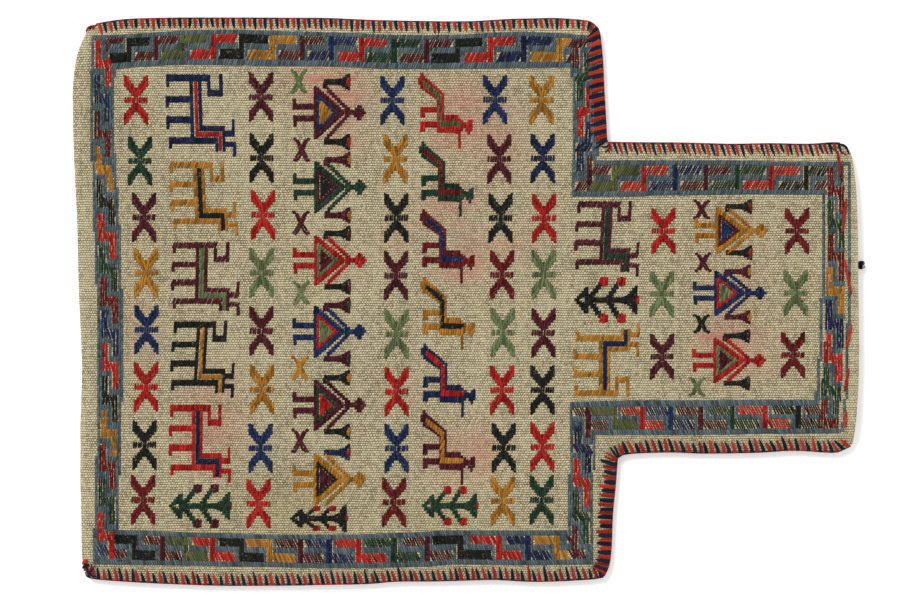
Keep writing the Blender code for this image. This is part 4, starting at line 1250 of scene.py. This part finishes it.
def wrap(at, s_edge, s_hole, reach, half, blunt):
    """One wrap over the edge, from its hole on the front to its hole on the back."""
    edge_q, inward = at(s_edge)
    slide = np.array([inward[1], -inward[0]]) * (s_hole - s_edge)
    front_hole = edge_q + inward * reach + slide
    back_hole = edge_q + inward * BACK_REACH + slide * BACK_SLIDE
    path = []
    for t, full in ((0.0, blunt), (0.12, 0.5 + 0.5 * blunt), (0.4, 1.0), (0.8, 1.05)):
        q = front_hole + (edge_q + inward * TURN_IN - front_hole) * t
        z = float(front_height(q[None])[0])
        path.append((q, z - FRONT_DIP + FRONT_LIFT * min(1, t * 4), half * full))
    for out, drop in ((0.2, 1), (1.0, 0), (0.2, -1)):
        path.append((edge_q - inward * out, MIDDLE_Z + drop * EDGE_DROP, half))
    for t in (0.3, 0.75, 1.0):
        q = edge_q + inward * TURN_IN + (back_hole - edge_q - inward * TURN_IN) * t
        z = 2 * MIDDLE_Z - float(front_height(q[None])[0])
        path.append((q, max(LOWEST, z - BACK_DIP + BACK_LIFT * t), half * (1 - 0.45 * t)))
    return [(*metres(q), z, h, h * FLATTENED) for q, z, h in path]


print("one wrap has", len(wrap(edge_frame(SEWN[0])[0], 50, 52, 10, 0.0007, 0.35)), "rings")

# %% The stitches of each side
STRAY_PITCH, STRAY_HOLE, STRAY_REACH, STRAY_WRAP = 0.35, 0.5, 0.10, 0.05
EDGE_YARN, EDGE_IN, EDGE_LIFT = 0.00055, 0.8, 0.0006
EDGE_PIECE, EDGE_OVERLAP, EDGE_POINTS = 36, 2, 14


def style(q):
    """A stitch's pitch, reach, slant, gap between its wraps, half width in mm, and blunt end."""
    x, y = q
    if x < 592 and y < 100:
        return 5.4, 9.8, 1.2, 1.7, 0.66, 0.35
    if y < 138:
        return 4.7, 14.5, 3.6, 2.2, 0.84, 0.7
    if y < 200:
        return 4.9, 10.8, 3.2, 1.5, 0.60, 0.35
    if x > 626:
        return 5.7, 11.4, 3.8, 1.9, 0.72, 0.35
    if y < 480:
        return 4.6, 12.8, -2.5, 2.1, 0.80, 0.7
    if x > 600:
        return 4.4, 12.2, 0.0, 2.1, 0.82, 0.8
    return 5.6, 11.6, 2.4, 1.7, 0.66, 0.35


def overcast(line, start, end):
    """The wraps of one side, as paths for each of the two yarns, and a yarn along the edge."""
    at, total = edge_frame(line)
    paths = {"orange": [], "dark_navy": []}
    s, k = start, 0
    while s < total - end:
        pitch, reach, slant, gap, half, blunt = style(at(s)[0])
        middle = s + pitch / 2 + STRAY_PITCH * float(rng.normal())
        hole = middle + slant + STRAY_HOLE * float(rng.normal())
        reach *= 1 + STRAY_REACH * float(rng.normal())
        dye = "orange" if k % 2 == 0 else "dark_navy"
        for side in (-0.5, 0.5):
            paths[dye].append(wrap(at, middle + side * gap, hole + side * gap * (blunt - 0.2),
                                   reach * (1 + STRAY_WRAP * float(rng.normal())), half / 1000,
                                   blunt))
        s, k = s + pitch, k + 1
    for k, s in enumerate(np.arange(start, total - end - 6, EDGE_PIECE)):
        last = min(s + EDGE_PIECE + EDGE_OVERLAP, total - end)
        run = [at(v) for v in np.linspace(s, last, EDGE_POINTS)]
        paths["dark_navy" if k % 2 == 0 else "orange"].append(
            [(*metres(q - inward * EDGE_IN), MIDDLE_Z + EDGE_LIFT, EDGE_YARN, EDGE_YARN)
             for q, inward in run])
    return paths


upper_line = np.vstack([SEWN[0], SEWN[1][1:], SEWN[2][1:]])
lower_line = np.vstack([SEWN[3], SEWN[4][1:], SEWN[5][1:]])
seams = {}
for side, line, start, end in (("upper", upper_line, 8.0, 14.0), ("lower", lower_line, 2.0, 1.0)):
    for dye, paths in overcast(line, start, end).items():
        piece = yarn_piece("overcast_" + side + "_" + dye, paths, dye)
        seams.setdefault(side, []).append(piece)
        print(piece.name, len(paths), "wraps")
    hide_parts("overcast_" + side)

# %% [markdown]
# ## The running stitch and the loose ends
# One orange yarn runs through the mouth's hem in long dashes. It is two plies laid round each
# other, so each dash is a pair of thin yarns on a spiral. The ends of each dash bend down into
# the cloth. A tuft of navy yarn sticks out at the mouth, and small knots close the seams' ends.

# %% The running stitch
DASHES = (((837.6, 151), (841.3, 181)), ((846.4, 198.5), (842, 233)), ((844, 259), (851.3, 295)),
          ((851.4, 324), (846.3, 348.5)), ((848.8, 368.6), (844.4, 391.5)),
          ((846, 411), (845, 428)), ((845.5, 440), (844.5, 446)))
PLY, PLIES, PLY_RADIUS, PLY_TURN = 0.00080, 2, 0.00036, 0.0090
PLY_STEP, DASH_LIFT, DASH_BEND, DASH_DIP = 0.0009, 0.0013, 0.0016, 0.0003


def plied(start, end):
    """A dash of plied yarn on the cloth, as one path for each ply."""
    start, end = np.array(start, float), np.array(end, float)
    length = float(np.hypot(*(end - start))) * PIXEL
    count = max(8, int(length / PLY_STEP))
    t = np.linspace(0, 1, count)
    q = start + (end - start) * t[:, None]
    bend = np.minimum(1, np.minimum(t, 1 - t) * length / DASH_BEND)
    z = front_height(q) + DASH_LIFT * bend - DASH_DIP
    way = metres(end) - metres(start)
    side = np.array([-way[1], way[0]]) / (np.hypot(*way) + TINY)
    place = metres(q)
    paths = []
    for n in range(PLIES):
        a = 2 * math.pi * (t * length / PLY_TURN + n / PLIES)
        x = place[:, 0] + side[0] * PLY_RADIUS * np.cos(a)
        y = place[:, 1] + side[1] * PLY_RADIUS * np.cos(a)
        thick = PLY * (0.35 + 0.65 * np.sqrt(np.sin(math.pi * np.clip(t, 0.01, 0.99))))
        paths.append(np.column_stack([x, y, z + PLY_RADIUS * np.sin(a), thick, thick * 0.9]))
    return paths


stitch_paths = [path for start, end in DASHES for path in plied(start, end)]
running = yarn_piece("running_stitch_yarn", stitch_paths, "orange")
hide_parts("running_stitch")
yarn_piece("running_stitch_dark_end", plied((840.2, 172), (842, 182)), "maroon")
print("dashes:", len(DASHES))

# %% The tuft and the knots
TUFT_START, TUFT_MIDDLE, TUFT_Y = 846, 862.4, 265
TUFT_ROUND, TUFT_STRANDS = 3.1, 16
STRAND, STRAND_HEIGHT = 0.00045, 0.0046
tuft_paths = []
for k in range(TUFT_STRANDS):
    spread = (k - 7.5) / 7.5
    path = []
    for t in np.linspace(0, 1, 15):
        x = TUFT_START + (18.6 + 1.2 * math.cos(k * 1.9)) * t
        bulge = math.sqrt(max(0, 1 - ((x - TUFT_MIDDLE) / 4.2) ** 2))
        place = metres((x + 0.4 * float(rng.normal()) * t,
                        TUFT_Y + spread * (0.8 + TUFT_ROUND * bulge)))
        path.append((*place, STRAND_HEIGHT + 0.0008 * bulge * math.cos(k * 2.4),
                     STRAND * (1.1 - 0.4 * t), STRAND))
    tuft_paths.append(path)
tuft = yarn_piece("navy_tuft", tuft_paths, "dark_navy", sides=5)
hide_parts("yarn_end")
LUMPS = (("orange", ((88, 560.5), (84.8, 561.4), (82.2, 564.5)), 2.1),
         ("dark_navy", ((89, 564.8), (85.4, 566), (82.4, 568.2)), 2.1),
         ("orange", ((87.5, 569), (85, 569.6), (83.4, 571)), 1.4),
         ("dark_navy", ((86, 566.5), (87.3, 571), (90.5, 575.2), (96, 577)), 1.6),
         ("orange", ((85.6, 31.5), (88, 27.6), (91.5, 25.4)), 1.5),
         ("dark_navy", ((89, 29.4), (90.6, 26.6), (94.5, 24.8)), 1.2),
         ("orange", ((92.5, 29.4), (93.2, 26.5), (96.6, 24.2)), 1.1),
         ("dark_navy", ((826, 143.6), (832, 143), (838, 143.6)), 0.7),
         ("dark_navy", ((831, 144.5), (832.5, 148), (835, 150)), 0.8),
         ("dark_navy", ((838, 143.8), (844, 145), (847.6, 148.6), (849, 154)), 1.3),
         ("orange", ((841.5, 151.5), (844, 153.2), (846.5, 154.6)), 0.9),
         ("dark_navy", ((602, 147), (606.5, 146.5), (610, 144.2)), 1.1),
         ("dark_navy", ((605, 152.5), (609, 149), (611.5, 145)), 1.0))
KNOT_LIFT, KNOT_FLATTENED = 0.0006, 0.8
knots = {"orange": [], "dark_navy": []}
for dye, points, wide in LUMPS:
    line = curved(points, 3)
    heights = front_height(line) + KNOT_LIFT
    shape = np.sin(np.linspace(0.25, math.pi - 0.25, len(line))) ** 0.5
    knots[dye].append([(*metres(q), z, wide * PIXEL * f, wide * PIXEL * f * KNOT_FLATTENED)
                       for q, z, f in zip(line, heights, shape)])
for dye, paths in knots.items():
    yarn_piece("corner_knot_" + dye, paths, dye)
print("tuft strands:", len(tuft_paths))

# %% [markdown]
# ## Light, floor and camera
# The photo is lit evenly from all round, on white. A plain white world does most of it, and one
# soft sun from the upper left shows the relief. Together they light the cloth at a plain level,
# at which a colour renders about as it is written. The floor is white for the camera and keeps
# the bag's shadow.

# %% World and sun
WORLD_LEVEL = 0.62
SUN_LEVEL = 0.38
SUN_TILT = math.radians(42)
world = bpy.data.worlds.new("studio")
world.use_nodes = True
bpy.context.scene.world = world
Wire.tree = world.node_tree
background = world.node_tree.nodes["Background"]
background.inputs["Color"].default_value = (1, 1, 1, 1)
rays = [Wire.node("ShaderNodeLightPath", {}, {}, out=name)
        for name in ("Is Camera Ray", "Is Glossy Ray", "Is Transmission Ray")]
seen = Wire.maths("MAXIMUM", Wire.maths("MAXIMUM", rays[0], rays[1]), rays[2])
level = seen * (1 - WORLD_LEVEL) + WORLD_LEVEL
Wire.tree.links.new(level.socket, background.inputs["Strength"])
sun = bpy.data.lights.new("soft_sun", "SUN")
sun.energy = SUN_LEVEL * math.pi / math.cos(SUN_TILT)
sun.angle = math.radians(18)
sun_object = bpy.data.objects.new("soft_sun", sun)
sun_object.rotation_euler = (-SUN_TILT * 0.75, -SUN_TILT * 0.65, 0)
bpy.context.scene.collection.objects.link(sun_object)
print("level on a flat surface:", round(WORLD_LEVEL + SUN_LEVEL, 2))

# %% Floor
FLOOR_SIZE = 12
floor = mesh_object("floor", [(-FLOOR_SIZE, -FLOOR_SIZE, 0), (FLOOR_SIZE, -FLOOR_SIZE, 0),
                              (FLOOR_SIZE, FLOOR_SIZE, 0), (-FLOOR_SIZE, FLOOR_SIZE, 0)],
                    [(0, 1, 2, 3)], smooth=False)
floor.location.z = -0.0002
floor_material = bpy.data.materials.new("white_floor")
floor_material.use_nodes = True
Wire.tree = floor_material.node_tree
for name, value in (("Base Color", (1.0, 1.0, 1.0, 1)), ("Roughness", 1.0),
                    ("Specular IOR Level", 0.0), ("Emission Color", (1, 1, 1, 1)),
                    ("Emission Strength", 0.30)):
    floor_material.node_tree.nodes["Principled BSDF"].inputs[name].default_value = value
floor.data.materials.append(floor_material)
floor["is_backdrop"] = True
print("floor:", FLOOR_SIZE * 2, "m across")

# %% Camera
CAMERA_HEIGHT = 3.0
PHOTO_WIDTH = 900
camera = bpy.data.cameras.new("above")
camera.sensor_width = 36
camera.lens = 36 * (CAMERA_HEIGHT - 2 * MIDDLE_Z) / (PHOTO_WIDTH * PIXEL)
camera_object = bpy.data.objects.new("above", camera)
camera_object.location = (*metres(PHOTO_CENTRE), CAMERA_HEIGHT)
bpy.context.scene.collection.objects.link(camera_object)
bpy.context.scene.camera = camera_object
bpy.context.scene.view_settings.view_transform = "Standard"
print("lens, mm:", round(camera.lens, 1))

# %% [markdown]
# ## The triangle count
# The triangles of all shown pieces are counted and printed.

# %% Triangles
bpy.context.view_layer.update()
triangles = sum(len(p.vertices) - 2
                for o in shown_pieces() if o.type == "MESH" for p in o.data.polygons)
print("triangles:", triangles)
